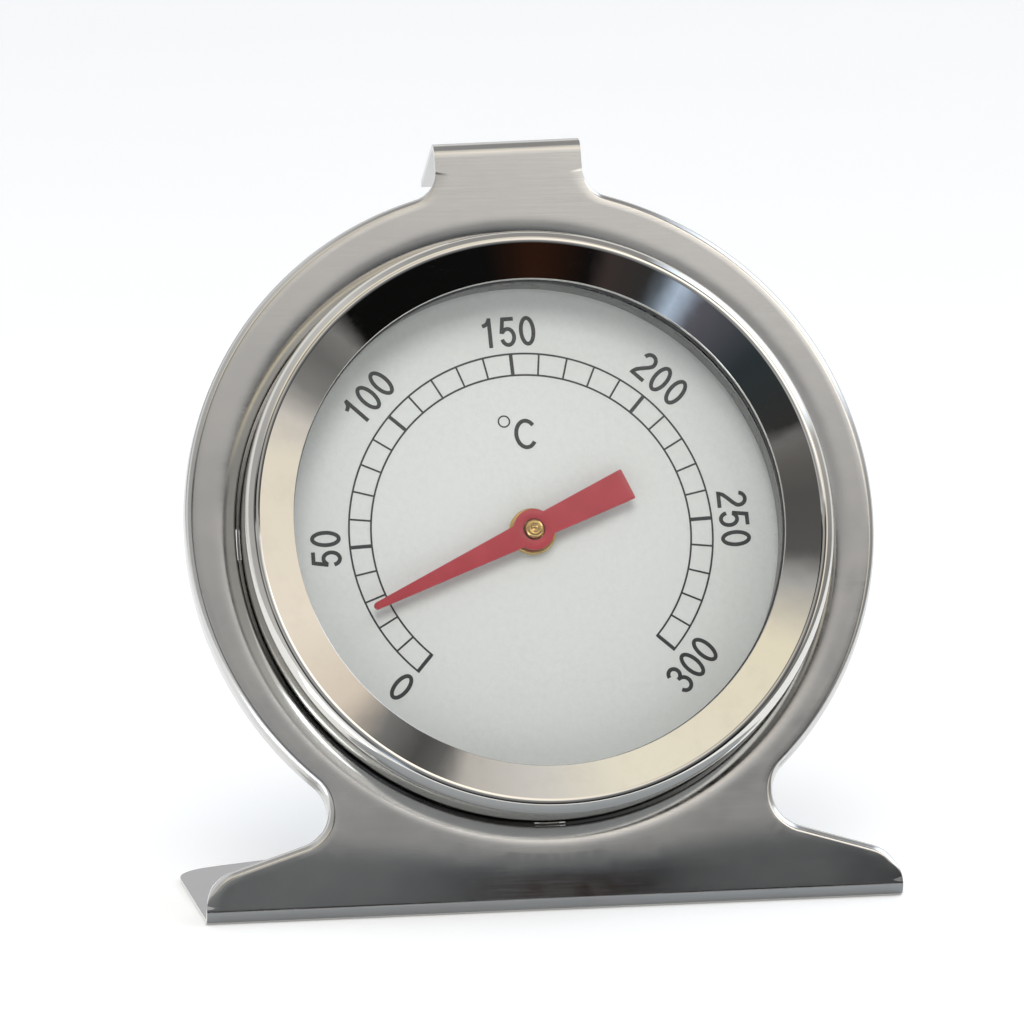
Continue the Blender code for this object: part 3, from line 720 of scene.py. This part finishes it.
def strip_end(crease):
    """(tilt, y, z) where the tilted strip below the crease runs into the foot's bend."""
    tilt = 0.1
    for _ in range(8):
        start_y = BEND_Y - FOLD_R * math.sin(tilt)
        start_z = BEND_Z + FOLD_R * math.cos(tilt)
        tilt = math.atan2(-start_z, crease - start_y)
    return tilt, start_y, start_z


def folded(x, y, z):
    """Where a point of the flat blank lies once the hook and the foot are folded back."""
    past = Vector((-math.sin(HOOK_SKEW), math.cos(HOOK_SKEW))).dot((x - NECK_HALF_WIDTH, y - HOOK_Y))
    if past > 0.0:
        return hooked(x, y, z, past)
    crease = FOLD_Y + crease_height(x)
    if y > crease + CREASE_SOFT:
        return x, y, z
    tilt, start_y, start_z = strip_end(crease)
    if y > FOLD_Y:
        share = (crease - y) / (crease - FOLD_Y)
        new_y = crease + (start_y - crease) * share
        new_z = start_z * share
        if abs(y - crease) < CREASE_SOFT:
            new_z = -math.tan(tilt) * (crease + CREASE_SOFT - y) ** 2 / (4 * CREASE_SOFT)
            new_y = y if y > crease else new_y
        return x, new_y - z * math.sin(tilt), new_z + z * math.cos(tilt)
    neutral = FOLD_R - SHEET / 2
    turned = min((FOLD_Y - y) / neutral, FOOT_TURN)
    flat = FOLD_Y - y - turned * neutral
    angle = tilt + turned * (FOOT_TURN - tilt) / FOOT_TURN
    reach = FOLD_R + z
    new_y = BEND_Y - reach * math.sin(angle) - flat * math.cos(angle)
    return x, new_y, BEND_Z + reach * math.cos(angle) - flat * math.sin(angle)


def hook_line(x):
    """The hook's fold runs a little askew, lower at the left."""
    return HOOK_Y + (x - NECK_HALF_WIDTH) * math.tan(HOOK_SKEW)


def hooked(x, y, z, past):
    """Where a point of the blank lies that is past the hook's fold line by that much."""
    neutral = HOOK_R - SHEET / 2
    turn = min(past / neutral, HOOK_BEND)
    flat = past - turn * neutral
    reach = HOOK_R + z
    move = reach * math.sin(turn) + flat * math.cos(turn) - past
    new_z = -HOOK_R + reach * math.cos(turn) - flat * math.sin(turn)
    return x - move * math.sin(HOOK_SKEW), y + move * math.cos(HOOK_SKEW), new_z


def collar_section():
    """(r, z) of the drawn shoulder, the collar and the ledge behind the case."""
    section = []
    for k in range(29):
        share = math.sin(math.pi / 2 * k / 28)
        drop = 1.0 - math.sqrt(1.0 - share**SHOULDER_POWER)
        section.append((DISH_R - (DISH_R - COLLAR_R) * share, -SHOULDER_DEPTH * drop))
    section += [(COLLAR_R, LEDGE_Z), (BEZEL_R + SLOT_PLAY, LEDGE_Z)]
    return section + [(BEZEL_R - SLOT_INNER, LEDGE_Z), (LEDGE_R, LEDGE_Z)]


def in_slot(face):
    """True on the ledge where a crimp tab of the bezel goes through it."""
    middle = face.calc_center_median()
    radius = math.hypot(middle.x, middle.y)
    on_ledge = middle.z < LEDGE_Z + 0.01 * MM
    if not on_ledge or not BEZEL_R - SLOT_INNER < radius < BEZEL_R + SLOT_PLAY:
        return False
    quarter = math.tau / TAB_COUNT
    off = abs(math.remainder(math.atan2(middle.y, middle.x), quarter)) * radius
    return off < TAB_WIDTH / 2 + FIT


def stand():
    """The whole stand, modelled as its flat blank and then folded."""
    columns = foot_columns()
    outer = plate_edge(0.0)
    inner = plate_edge(RIM_INSET)
    right = [outer[1]] + inner[1:] + [outer[-1]]
    hook_x = [NECK_HALF_WIDTH * (1.0 - 2.0 * k / 20) for k in range(21)]
    outline = [(x, base_corner_y()) for x, _ in columns]
    outline += right + [(x, hook_line(x) - HOOK_LEAD) for x in hook_x]
    outline += [(-x, y) for x, y in reversed(right)]
    front = region(outline, [((0.0, 0.0), DISH_R, STEPS)], spacing=0.9 * MM)
    hook = grid([[(x, hook_line(x) + past, 0.0) for x in hook_x] for past in hook_rows()])
    parts = [front, rim_band(1.0), rim_band(-1.0), foot_grid(columns), hook]
    parts.append(lathe(collar_section()))
    bm = build(parts)
    face_front(bm)
    slots = [face for face in bm.faces if in_slot(face)]
    bmesh.ops.delete(bm, geom=slots, context="FACES")
    for vert in bm.verts:
        vert.co = folded(*vert.co)
    bm.normal_update()
    return piece(
        "stand_sheet", bm, "stand", STEEL, ["stand_plate"],
        sheet=SHEET, bevel=0.06 * MM, sharp=20.0,
    )


stand()


# ---------------------------------------------------------------- the case


def bead_centre():
    """(r, z) of the middle of the bezel's round outer edge."""
    radius = BEZEL_R - BEAD_R
    rise = (radius - BEZEL_OPENING_R) * math.tan(BEZEL_SLOPE)
    return radius, BEZEL_EDGE_Z + rise - BEAD_R / math.cos(BEZEL_SLOPE)


def turned_piece(name, profile, body, material, replaces, steps=STEPS):
    """A closed (r, z) profile turned into a solid."""
    on_axis = min(r for r, _ in profile) <= 0.0
    bm = build([lathe(profile, steps=steps, loop=not on_axis)])
    bmesh.ops.recalc_face_normals(bm, faces=bm.faces)
    return piece(name, bm, body, material, replaces, sharp=30.0)


def section_ring(name, inner, outer, front, back, ease, material, replaces):
    """A flat ring of the stand with rounded edges."""
    corners = [(inner, front, ease), (outer, front, ease), (outer, back, ease), (inner, back, ease)]
    return turned_piece(name, rounded(corners), "stand", material, replaces)


def bezel():
    """The ring in front of the glass, with its skirt and the tabs crimped behind the case."""
    bead_x, bead_z = bead_centre()
    normal = math.pi / 2 + BEZEL_SLOPE
    skirt_end = LEDGE_Z + FIT
    lip = BEZEL_LIP_R
    lip_back = BEZEL_EDGE_Z - BEZEL_SHEET / math.cos(BEZEL_SLOPE)
    lip_centre = (BEZEL_OPENING_R + lip, BEZEL_EDGE_Z - lip + BEZEL_LIP_LIFT)
    profile = arc(lip_centre, lip, math.pi, normal, 6)
    profile += arc((bead_x, bead_z), BEAD_R, normal, 0.0, 24)
    profile += [(BEZEL_R, skirt_end), (BEZEL_R - BEZEL_SHEET, skirt_end)]
    profile += arc((bead_x, bead_z), BEAD_R - BEZEL_SHEET, 0.0, normal, 12)
    profile += [(BEZEL_OPENING_R + lip, lip_back), (BEZEL_OPENING_R, lip_back + lip / 2)]
    parts = [lathe(profile, steps=2 * STEPS, loop=True)]
    mid = BEZEL_R - BEZEL_SHEET / 2
    thin = BEZEL_SHEET / 2 - TAB_THINNING
    front = CASE_FLANGE_FRONT - CASE_SHEET - FIT
    side = [
        (mid + thin, LEDGE_Z + TAB_ROOT, 0.0),
        (mid - thin, LEDGE_Z + TAB_ROOT, 0.0),
        (mid - thin, front, 0.0),
        (BEZEL_R - TAB_LIP, front, TAB_INNER_BEND_R),
        (BEZEL_R - TAB_LIP, front - BEZEL_SHEET, TAB_INNER_BEND_R),
        (mid + thin, front - BEZEL_SHEET, TAB_OUTER_BEND_R),
    ]
    sweep = TAB_WIDTH / BEZEL_R
    for k in range(TAB_COUNT):
        start = math.tau * k / TAB_COUNT - sweep / 2
        parts.append(lathe(rounded(side, 6), start, sweep, 8, True))
    bm = build(parts)
    bmesh.ops.recalc_face_normals(bm, faces=bm.faces)
    return piece("bezel", bm, "stand", MIRROR, ["bezel_ring"], sharp=30.0)


def glazing():
    """The seal, the pane and the spacer ring, from the bezel's lip back to the dial."""
    front = BEZEL_EDGE_Z - BEZEL_SHEET / math.cos(BEZEL_SLOPE) - GASKET_GAP
    back = front - GASKET_T
    ease = 0.12 * MM
    section_ring("seal", GASKET_R, GLASS_R, front, back, ease, SEAL, ["glass_gasket"])
    front = back - FIT
    back = front - GLASS_T
    inner = GLASS_R - GLASS_CHAMFER
    profile = [(0.0, front), (inner, front), (GLASS_R, front - GLASS_CHAMFER)]
    profile += [(GLASS_R, back + GLASS_CHAMFER), (inner, back), (0.0, back)]
    turned_piece("window", profile, "stand", GLASS, ["front_glass"], steps=180)
    top = back - FIT
    foot = DIAL_FRONT + FIT
    edge = 0.06 * MM
    section = [(SPACER_R, top, edge), (SPACER_R + SPACER_T, top, edge)]
    section += [(SPACER_R + SPACER_T, foot + SPACER_T, edge), (GLASS_R, foot + SPACER_T, edge)]
    section += [(GLASS_R, foot, edge), (SPACER_R, foot, edge)]
    # The spacer uses the darker copy of the plated steel: painted shade in the recess between the pane
    # and the dial.
    turned_piece("spacer", rounded(section), "stand", PLATED_PAINTED_SHADE, ["spacer_ring"])


def rear_cup():
    """The drawn steel cup behind the dial, with its flange and its pierced vents."""
    spots = [(VENT_CIRCLE_R * math.cos(a), VENT_CIRCLE_R * math.sin(a))
             for a in (math.tau * k / VENT_COUNT for k in range(VENT_COUNT))]
    flat_r = CASE_CUP_R - CASE_CORNER_R
    lip_r = VENT_R + VENT_LIP_R
    holes = [(spot, lip_r, 40) for spot in spots]
    parts = [region(circle(flat_r), holes, spacing=1.6 * MM, z=CASE_BACK)]
    for x, y in spots:
        lip = arc((lip_r, CASE_BACK + VENT_LIP_R), VENT_LIP_R, -math.pi / 2, -math.pi, 6)
        points, faces = lathe(lip, steps=40)
        parts.append(([(x + px, y + py, pz) for px, py, pz in points], faces))
    back = CASE_FLANGE_FRONT - CASE_SHEET
    bend_r = CASE_FLANGE_BEND_R
    wall = arc((flat_r, CASE_BACK + CASE_CORNER_R), CASE_CORNER_R, -math.pi / 2, 0.0, 12)
    wall += [(CASE_CUP_R, CASE_BACK + 5.0 * MM), (CASE_CUP_R, back - bend_r)]
    wall += arc((CASE_CUP_R + bend_r, back - bend_r), bend_r, math.pi, math.pi / 2, 6)
    wall.append((CASE_FLANGE_R, back))
    parts.append(lathe(wall))
    bm = build(parts)
    face_front(bm)
    bmesh.ops.reverse_faces(bm, faces=bm.faces)
    return piece(
        "rear_cup", bm, "stand", PLATED, ["rear_case"],
        sheet=CASE_SHEET, bevel=0.05 * MM, sharp=40.0,
    )


bezel()
glazing()
section_ring(
    "dial", BUSH_HOLE_R, DIAL_R, DIAL_FRONT, DIAL_FRONT - DIAL_T, 0.05 * MM,
    SILVER, ["dial_plate"],
)
rear_cup()


# ---------------------------------------------------------------- the printed scale


def glyph_strokes(glyph):
    """Middle lines of a figure one unit tall, as (points, closed) about its own middle."""
    top = 0.5 - GLYPH_LINE / 2
    degrees = math.radians
    if glyph == "0":
        return [(arc((0, 0), (0.205, top), 0.0, math.tau, 40)[:-1], True)]
    if glyph == "1":
        flag = [(-0.165, 0.235), (-0.06, 0.27), (0.015, 0.335), (0.055, 0.43)]
        return [([(0.07, -0.5), (0.07, 0.5)], False), (flag, False)]
    if glyph == "2":
        path = arc((0, 0.21), (0.205, top - 0.21), degrees(172), degrees(-18), 16)
        path += [(0.12, 0.03), (-0.05, -0.15), (-0.165, -0.29), (-0.205, -0.40), (-0.21, -top)]
        return [(path + [(-0.205, -top), (0.265, -top)], False)]
    if glyph == "3":
        upper = arc((-0.005, 0.235), (0.185, top - 0.235), degrees(165), degrees(-80), 16)
        lower = arc((-0.005, -0.205), (0.205, top - 0.205), degrees(82), degrees(-166), 18)
        return [(upper + [(-0.05, 0.035)], False), (lower, False)]
    if glyph == "5":
        path = [(0.225, top), (-0.135, top), (-0.195, 0.015)]
        path += arc((0.0, -0.165), (0.205, top - 0.165), degrees(140), degrees(-164), 20)
        return [(path, False)]
    if glyph == "C":
        return [(arc((0, 0), (0.315, top), degrees(38), degrees(322), 32), False)]
    raise ValueError(f"no strokes for {glyph}")


def ribbon(points, width, closed=False):
    """A flat band of one width along a line, with mitred corners, as rows for grid()."""
    line = [Vector(point) for point in points]
    rows = []
    for k, here in enumerate(line):
        before = line[k - 1] if closed or k else here
        after = line[(k + 1) % len(line)] if closed or k < len(line) - 1 else here
        back = (here - before).normalized() if before != here else (after - here).normalized()
        ahead = (after - here).normalized() if after != here else back
        along = (back + ahead).normalized()
        side = Vector((-along.y, along.x)) * (width / 2 / max(along.dot(back), 0.5))
        rows.append([here + side, here - side])
    return rows + rows[:1] if closed else rows


def placed(rows, centre, turn, size):
    """Rows of a figure moved to its place on the dial's face."""
    spin = Matrix.Rotation(turn, 2)
    top = DIAL_FRONT + PRINT_T
    return [[(*(centre + spin @ (point * size)), top) for point in row] for row in rows]


def label(text, centre, turn, height):
    """A number set along its own baseline, its middle at centre."""
    parts = []
    spin = Matrix.Rotation(turn, 2)
    for k, glyph in enumerate(text):
        shift = spin @ Vector(((k - (len(text) - 1) / 2) * GLYPH_GAP * height, 0.0))
        for points, closed in glyph_strokes(glyph):
            rows = placed(ribbon(points, GLYPH_LINE, closed), centre + shift, turn, height)
            parts.append(grid(rows))
    return parts


def dial_print():
    """The scale's two arcs and marks, its numbers, and the unit."""
    top = DIAL_FRONT + PRINT_T
    zero = SCALE_START + PRINT_TURN
    step = -SCALE_SWEEP / SCALE_END
    inner = SCALE_R * SCALE_INNER
    half = FINE_LINE / 2
    end = BOLD_LINE / 2 / SCALE_R
    parts = []
    for radius in (inner, SCALE_R):
        band = [(radius - half, top), (radius + half, top)]
        parts.append(lathe(band, zero + end, -SCALE_SWEEP - 2 * end, 400))
    for value in range(0, SCALE_END + 1, 10):
        angle = zero + value * step
        out = Vector((math.cos(angle), math.sin(angle)))
        line = [out * (inner + half), out * (SCALE_R - half)]
        rows = ribbon(line, FINE_LINE if value % 50 else BOLD_LINE)
        parts.append(grid([[(*point, top) for point in row] for row in rows]))
    for text, (x, y), turn in LABELS:
        parts += label(text, Vector((x, y)) * SCALE_R, math.radians(turn), DIGIT_H)
    parts += label("C", Vector((0.007, 0.55)) * SCALE_R, PRINT_TURN, UNIT_H)
    ring = circle(DEGREE_R, 36, (-0.11 * SCALE_R, 0.623 * SCALE_R))
    rows = ribbon(ring, DEGREE_LINE, True)
    parts.append(grid([[(*point, top) for point in row] for row in rows]))
    bm = build(parts, 0.0)
    for face in bm.faces:
        face.normal_update()
        if face.normal.z < 0:
            face.normal_flip()
    return piece("dial_print", bm, "stand", INK, sheet=0.9 * PRINT_T)


dial_print()


# ---------------------------------------------------------------- pointer and movement


def pointer_outline():
    """Needle, hub and tail along +X: the upper half and its mirror image."""
    needle_turn = math.asin(NEEDLE_HALF / HUB_R)
    tail_turn = math.pi - math.asin(TAIL_HALF / HUB_R)
    tail_corner = (TAIL_CORNER_R - TAIL_LENGTH, TAIL_END_HALF - TAIL_CORNER_R)
    upper = arc((NEEDLE_LENGTH - NEEDLE_TIP_HALF, 0.0), NEEDLE_TIP_HALF, 0.0, math.pi / 2, 6)
    upper += arc((0.0, 0.0), HUB_R, needle_turn, tail_turn, 24)
    upper += arc(tail_corner, TAIL_CORNER_R, math.pi / 2, math.pi, 3)
    return upper + [(x, -y) for x, y in reversed(upper[1:])]


def pointer():
    hole = ((0.0, 0.0), HEAD_R + HEAD_PLAY, 48)
    bm = build([region(pointer_outline(), [hole], spacing=0.6 * MM, z=POINTER_T)])
    face_front(bm)
    turn = Matrix.Rotation(READING, 4, "Z")
    bmesh.ops.transform(bm, matrix=turn, verts=bm.verts)
    return piece(
        "needle", bm, "pointer_shaft", RED, ["pointer"],
        sheet=POINTER_T, bevel=0.07 * MM,
    )


def spindle_and_bush():
    """The spindle, its head dimpled in the middle, and the flanged bush that it turns in."""
    head = POINTER_T + HEAD_T
    rim = head - DIMPLE_RIM
    profile = [(0.0, rim - DIMPLE_DEPTH)]
    profile += [(DIMPLE_R * math.sin(a), rim - DIMPLE_DEPTH * math.cos(a)) for a in
                (math.pi / 2 * k / 6 for k in range(1, 7))]
    profile += arc((DIMPLE_R + DIMPLE_LIP, rim), DIMPLE_RIM, math.pi, math.pi / 2, 3)[1:]
    dome_centre = (HEAD_R - HEAD_EASE, head - HEAD_DOME)
    profile += arc(dome_centre, (HEAD_EASE, HEAD_DOME), math.pi / 2, 0.0, 8)
    profile += [(HEAD_R, HEAD_FOOT), (SPINDLE_R, HEAD_FOOT)]
    profile += [(SPINDLE_R, SPINDLE_END + SPINDLE_CHAMFER)]
    profile += [(SPINDLE_R - SPINDLE_CHAMFER, SPINDLE_END), (0.0, SPINDLE_END)]
    turned_piece("spindle_pin", profile, "pointer_shaft", BRASS, ["spindle"], steps=72)
    back = DIAL_FRONT + FIT
    front = back + BUSH_FLANGE_T
    corners = [
        (BORE_R, front, 0.05 * MM), (BUSH_FLANGE_R, front, 0.15 * MM),
        (BUSH_FLANGE_R, back, 0.05 * MM), (BUSH_R, back, 0.0),
        (BUSH_R, BUSH_BACK, 0.08 * MM), (BORE_R, BUSH_BACK, 0.05 * MM),
    ]
    turned_piece("front_bush", rounded(corners), "stand", BRASS, ["bearing_bush"], steps=96)


pointer()
spindle_and_bush()

# CAD nodes that stay as they are inside the case, and their materials
HIDDEN = {
    "spindle_clip": PLATED, "bush_washer": PLATED, "movement_bracket": PLATED, "coil_rivet": PLATED,
    "bush_nut": BRASS, "rear_bush": BRASS, "coil_collet": BRASS, "bimetal_coil": BIMETAL,
}
for name, material in HIDDEN.items():
    frame["nodes"][name].data.materials.clear()
    frame["nodes"][name].data.materials.append(material)


# ---------------------------------------------------------------- studio and camera


def studio_floor():
    """A wide pale floor, lit a little from within so that it stays near white."""
    bm = bmesh.new()
    bmesh.ops.create_circle(bm, cap_ends=True, segments=96, radius=6.0)
    mesh = bpy.data.meshes.new("floor")
    bm.to_mesh(mesh)
    bm.free()
    floor = linked("floor", mesh)
    paint = Finish("floor_paper", (0.90, 0.90, 0.895), 0.0, 0.7)
    paint.tint(paint.noise(0.09, 3.0), (0.88, 0.88, 0.875), 0.5)
    mesh.materials.append(paint.done(Emission_Color=(1.0, 1.0, 1.0, 1.0), Emission_Strength=0.18))


def painted_shade_card():
    """A grey card just above the floor before the object, which only its steel mirrors: painted shade,
    standing in for the dimmer floor that the steel reflects near its foot.
    """
    left, right, front, back, height = (value * MM for value in (-35.0, 45.0, -115.0, -14.6, 0.1))
    bm = bmesh.new()
    corners = [(left, front), (right, front), (right, back), (left, back)]
    bm.faces.new([bm.verts.new((x, y, height)) for x, y in corners])
    mesh = bpy.data.meshes.new("painted_shade_card")
    bm.to_mesh(mesh)
    bm.free()
    card = linked("painted_shade_card", mesh)
    # The card's grey is painted shade that shows only in the steel's reflections.
    paint = Finish("painted_shade_paper", (0.42, 0.44, 0.46), 0.0, 0.8)
    paint.tint(paint.noise(0.02, 3.0), (0.38, 0.40, 0.42), 0.6)
    mesh.materials.append(paint.done())
    card.visible_camera = False
    card.visible_diffuse = False
    card.visible_shadow = False


# The camera's right, back and up directions, in the dial's axes
SEEN_X = Vector((0.9874, 0.0335, -0.1645)).normalized()
SEEN_OUT = Vector((0.1536, 0.2113, 0.9650))
SEEN_OUT = (SEEN_OUT - SEEN_X * SEEN_OUT.dot(SEEN_X)).normalized()
SEEN_UP = SEEN_OUT.cross(SEEN_X)


class Sky(Nodes):
    """A light tent, laid out by how a polished surface has to tilt to mirror each part of it to
    the usual viewpoint: the tilt from the dial's own plane, and the way that the tilt faces."""

    def __init__(self):
        world = bpy.data.worlds.new("studio")
        world.use_nodes = True
        bpy.context.scene.world = world
        super().__init__(world.node_tree)
        self.background = self.tree.nodes["Background"]
        across, up, out = (PLACE.to_3x3().col[k].normalized() for k in range(3))
        viewer = across * SEEN_X.z + up * SEEN_UP.z + out * SEEN_OUT.z
        way = self.node("ShaderNodeTexCoord").outputs["Generated"]
        half = self.vector("NORMALIZE", self.vector("ADD", way, viewer))
        self.right, self.up, facing = (self.along(half, axis) for axis in (across, up, out))
        self.tilt = self.maths("MULTIPLY", self.maths("ARCCOSINE", facing), math.degrees(1.0))
        turn = self.maths("ARCTAN2", self.maths("MULTIPLY", self.up, -1.0),
                          self.maths("MULTIPLY", self.right, -1.0))
        self.turn = self.maths("WRAP", self.maths("MULTIPLY", turn, 1.0 / math.tau), 1.0)

    def vector(self, operation, a, b=(0.0, 0.0, 0.0)):
        return self.node("ShaderNodeVectorMath", {0: a, 1: b}, operation=operation).outputs[0]

    def scaled(self, colour, factor):
        inputs = {0: colour, 3: factor}
        return self.node("ShaderNodeVectorMath", inputs, operation="SCALE").outputs[0]

    def along(self, vector, axis):
        inputs = {0: vector, 1: axis}
        return self.node("ShaderNodeVectorMath", inputs, operation="DOT_PRODUCT").outputs["Value"]

    def ramp(self, value, stops):
        """Colours at places from 0 to 1, blended in between."""
        made = self.node("ShaderNodeValToRGB", {0: value})
        elements = made.color_ramp.elements
        while len(elements) > 1:
            elements.remove(elements[-1])
        for k, (place, colour) in enumerate(stops):
            element = elements[0] if k == 0 else elements.new(place)
            element.position = place
            element.color = (*colour, 1.0)
        return made.outputs[0]

    def round_ramp(self, stops):
        """Colours by the way that the tilt faces, in degrees, closed into a ring."""
        first, last = stops[0], stops[-1]
        share = (360.0 - last[0]) / (360.0 - last[0] + first[0])
        seam = tuple(b + (a - b) * share for a, b in zip(first[1], last[1]))
        ring = [(0.0, seam)] + [(turn / 360.0, colour) for turn, colour in stops]
        return self.ramp(self.turn, ring + [(1.0, seam)])


def grey(level, warm=0.0):
    """A light's colour from its level; warm adds red and takes away blue."""
    return (level * (1.0 + warm), level, level * (1.0 - warm))


def funnel_lights():
    """What the bezel's sloping face mirrors, by the place round it, in degrees and levels."""
    return [
        (4, grey(0.107)), (12, grey(0.145, 0.04)), (16.5, grey(0.205)), (19.5, grey(0.04)),
        (36, (0.034, 0.046, 0.053)), (51, (0.13, 0.13, 0.16)), (56, (0.60, 0.74, 0.95)),
        (60, (0.14, 0.17, 0.21)), (63, grey(0.038)), (72, (0.054, 0.042, 0.041)),
        (76, grey(0.006)), (88, (0.034, 0.013, 0.007)), (98, grey(0.006)), (131, grey(0.005)),
        (135, grey(0.26)), (141, grey(0.185)), (149, grey(0.29)), (156, grey(0.77, 0.05)),
        (164, (1.04, 0.97, 0.84)), (200, (1.13, 1.03, 0.90)), (220, (0.92, 0.81, 0.70)),
        (229, grey(0.24)), (238, grey(0.095)), (244, grey(0.17)), (249, grey(0.63, 0.05)),
        (264, grey(0.82, 0.03)), (284, (1.09, 1.04, 0.88)), (330, (1.07, 0.99, 0.80)),
        (344, grey(0.52)), (351, grey(0.12)),
    ]


def outer_lights():
    """What steeper edges mirror, by the way that they face."""
    blue = (2.2, 2.5, 2.9)
    return [
        (10, grey(0.55)), (45, grey(0.95)), (75, grey(0.6)), (95, grey(0.34)), (140, grey(0.26)),
        (170, grey(0.30)), (195, grey(0.55)), (205, blue), (232, blue), (244, grey(0.35)),
        (262, grey(0.36, 0.02)), (290, grey(0.40)), (310, grey(0.75)), (345, grey(0.5)),
    ]


def plate_lights():
    """What the stand's front mirrors, from its foot (0) up to its hook (1)."""
    return [
        (0.0, grey(0.085, -0.07)), (0.05, grey(0.095, -0.07)), (0.24, grey(0.23, -0.03)),
        (0.36, grey(0.34)), (0.435, grey(0.32)), (0.467, grey(0.265)), (0.483, grey(0.29)),
        (0.50, grey(0.55)), (0.517, grey(0.65, 0.01)), (0.535, grey(0.72, 0.02)),
        (0.56, grey(0.63, 0.02)), (0.568, grey(0.64, 0.02)), (0.585, grey(0.92, 0.02)),
        (0.61, grey(1.15, 0.03)), (0.667, (1.26, 1.2, 1.10)), (0.833, (1.30, 1.19, 1.05)),
    ]


def studio_light():
    """The plate's lights, with a slant from left to right, and round them those of steeper tilts."""
    span = 0.36
    low_slant, high_slant = -5.0, 6.0
    sky = Sky()
    light = sky.ramp(sky.maths("MULTIPLY_ADD", sky.up, 1.0 / span, 0.5), plate_lights())
    slant = sky.ease(sky.up, -0.006, 0.008, low_slant, high_slant)
    light = sky.scaled(light, sky.maths("MULTIPLY_ADD", sky.right, slant, 1.0))
    rings = [
        (10.3, 12.8, sky.round_ramp(funnel_lights())), (16.5, 20.5, sky.round_ramp(outer_lights())),
        (42.0, 50.0, (0.95, 0.95, 0.94, 1.0)), (58.0, 67.0, (0.57, 0.57, 0.59, 1.0)),
    ]
    for low, high, beyond in rings:
        light = sky.mix(sky.ease(sky.tilt, low, high), light, beyond)
    sky.tree.links.new(light, sky.background.inputs["Color"])


def key_light():
    """A wide soft lamp above the front that brightens matt faces and leaves no mirror image."""
    data = bpy.data.lights.new("key", "AREA")
    data.shape = "DISK"
    data.size = 0.5
    data.energy = 5.0
    lamp = linked("key", data)
    lamp.location = (-0.15, -0.75, 0.75)
    aim = Vector((0.0, 0.0, 0.03)) - lamp.location
    lamp.rotation_euler = aim.to_track_quat("-Z", "Y").to_euler()
    lamp.visible_glossy = False


def floor_glint():
    """A pool of bluish light on the floor at the front left, which only mirrors show."""
    data = bpy.data.lights.new("glint", "AREA")
    data.shape = "RECTANGLE"
    data.size = 0.036
    data.size_y = 0.10
    data.color = (0.80, 0.92, 1.0)
    level = 3.4
    data.energy = level * math.pi * data.size * data.size_y
    lamp = linked("glint", data)
    lamp.location = (-0.083, -0.070, 0.0005)
    lamp.rotation_euler = (math.pi, 0.0, math.radians(-46.0))
    lamp.visible_camera = False
    lamp.visible_diffuse = False


def camera():
    """Where the object is looked at from, as the dial's axes seen by the camera."""
    seen = Matrix((SEEN_X, SEEN_UP, SEEN_OUT)).transposed()
    turn = PLACE.to_3x3() @ seen.transposed()
    target = PLACE @ Vector((-0.12 * MM, -0.12 * MM, DIAL_FRONT))
    seen_at = Vector((1.628, -1.965, -621.3)) * MM
    data = bpy.data.cameras.new("camera")
    data.sensor_width = 36.0
    data.lens = 246.1
    data.clip_start = 0.01
    obj = linked("camera", data)
    place = turn.to_4x4()
    place.translation = target - turn @ seen_at
    obj.matrix_world = place
    bpy.context.scene.camera = obj


studio_floor()
painted_shade_card()
studio_light()
key_light()
floor_glint()
camera()
bpy.context.scene.view_settings.view_transform = "Standard"
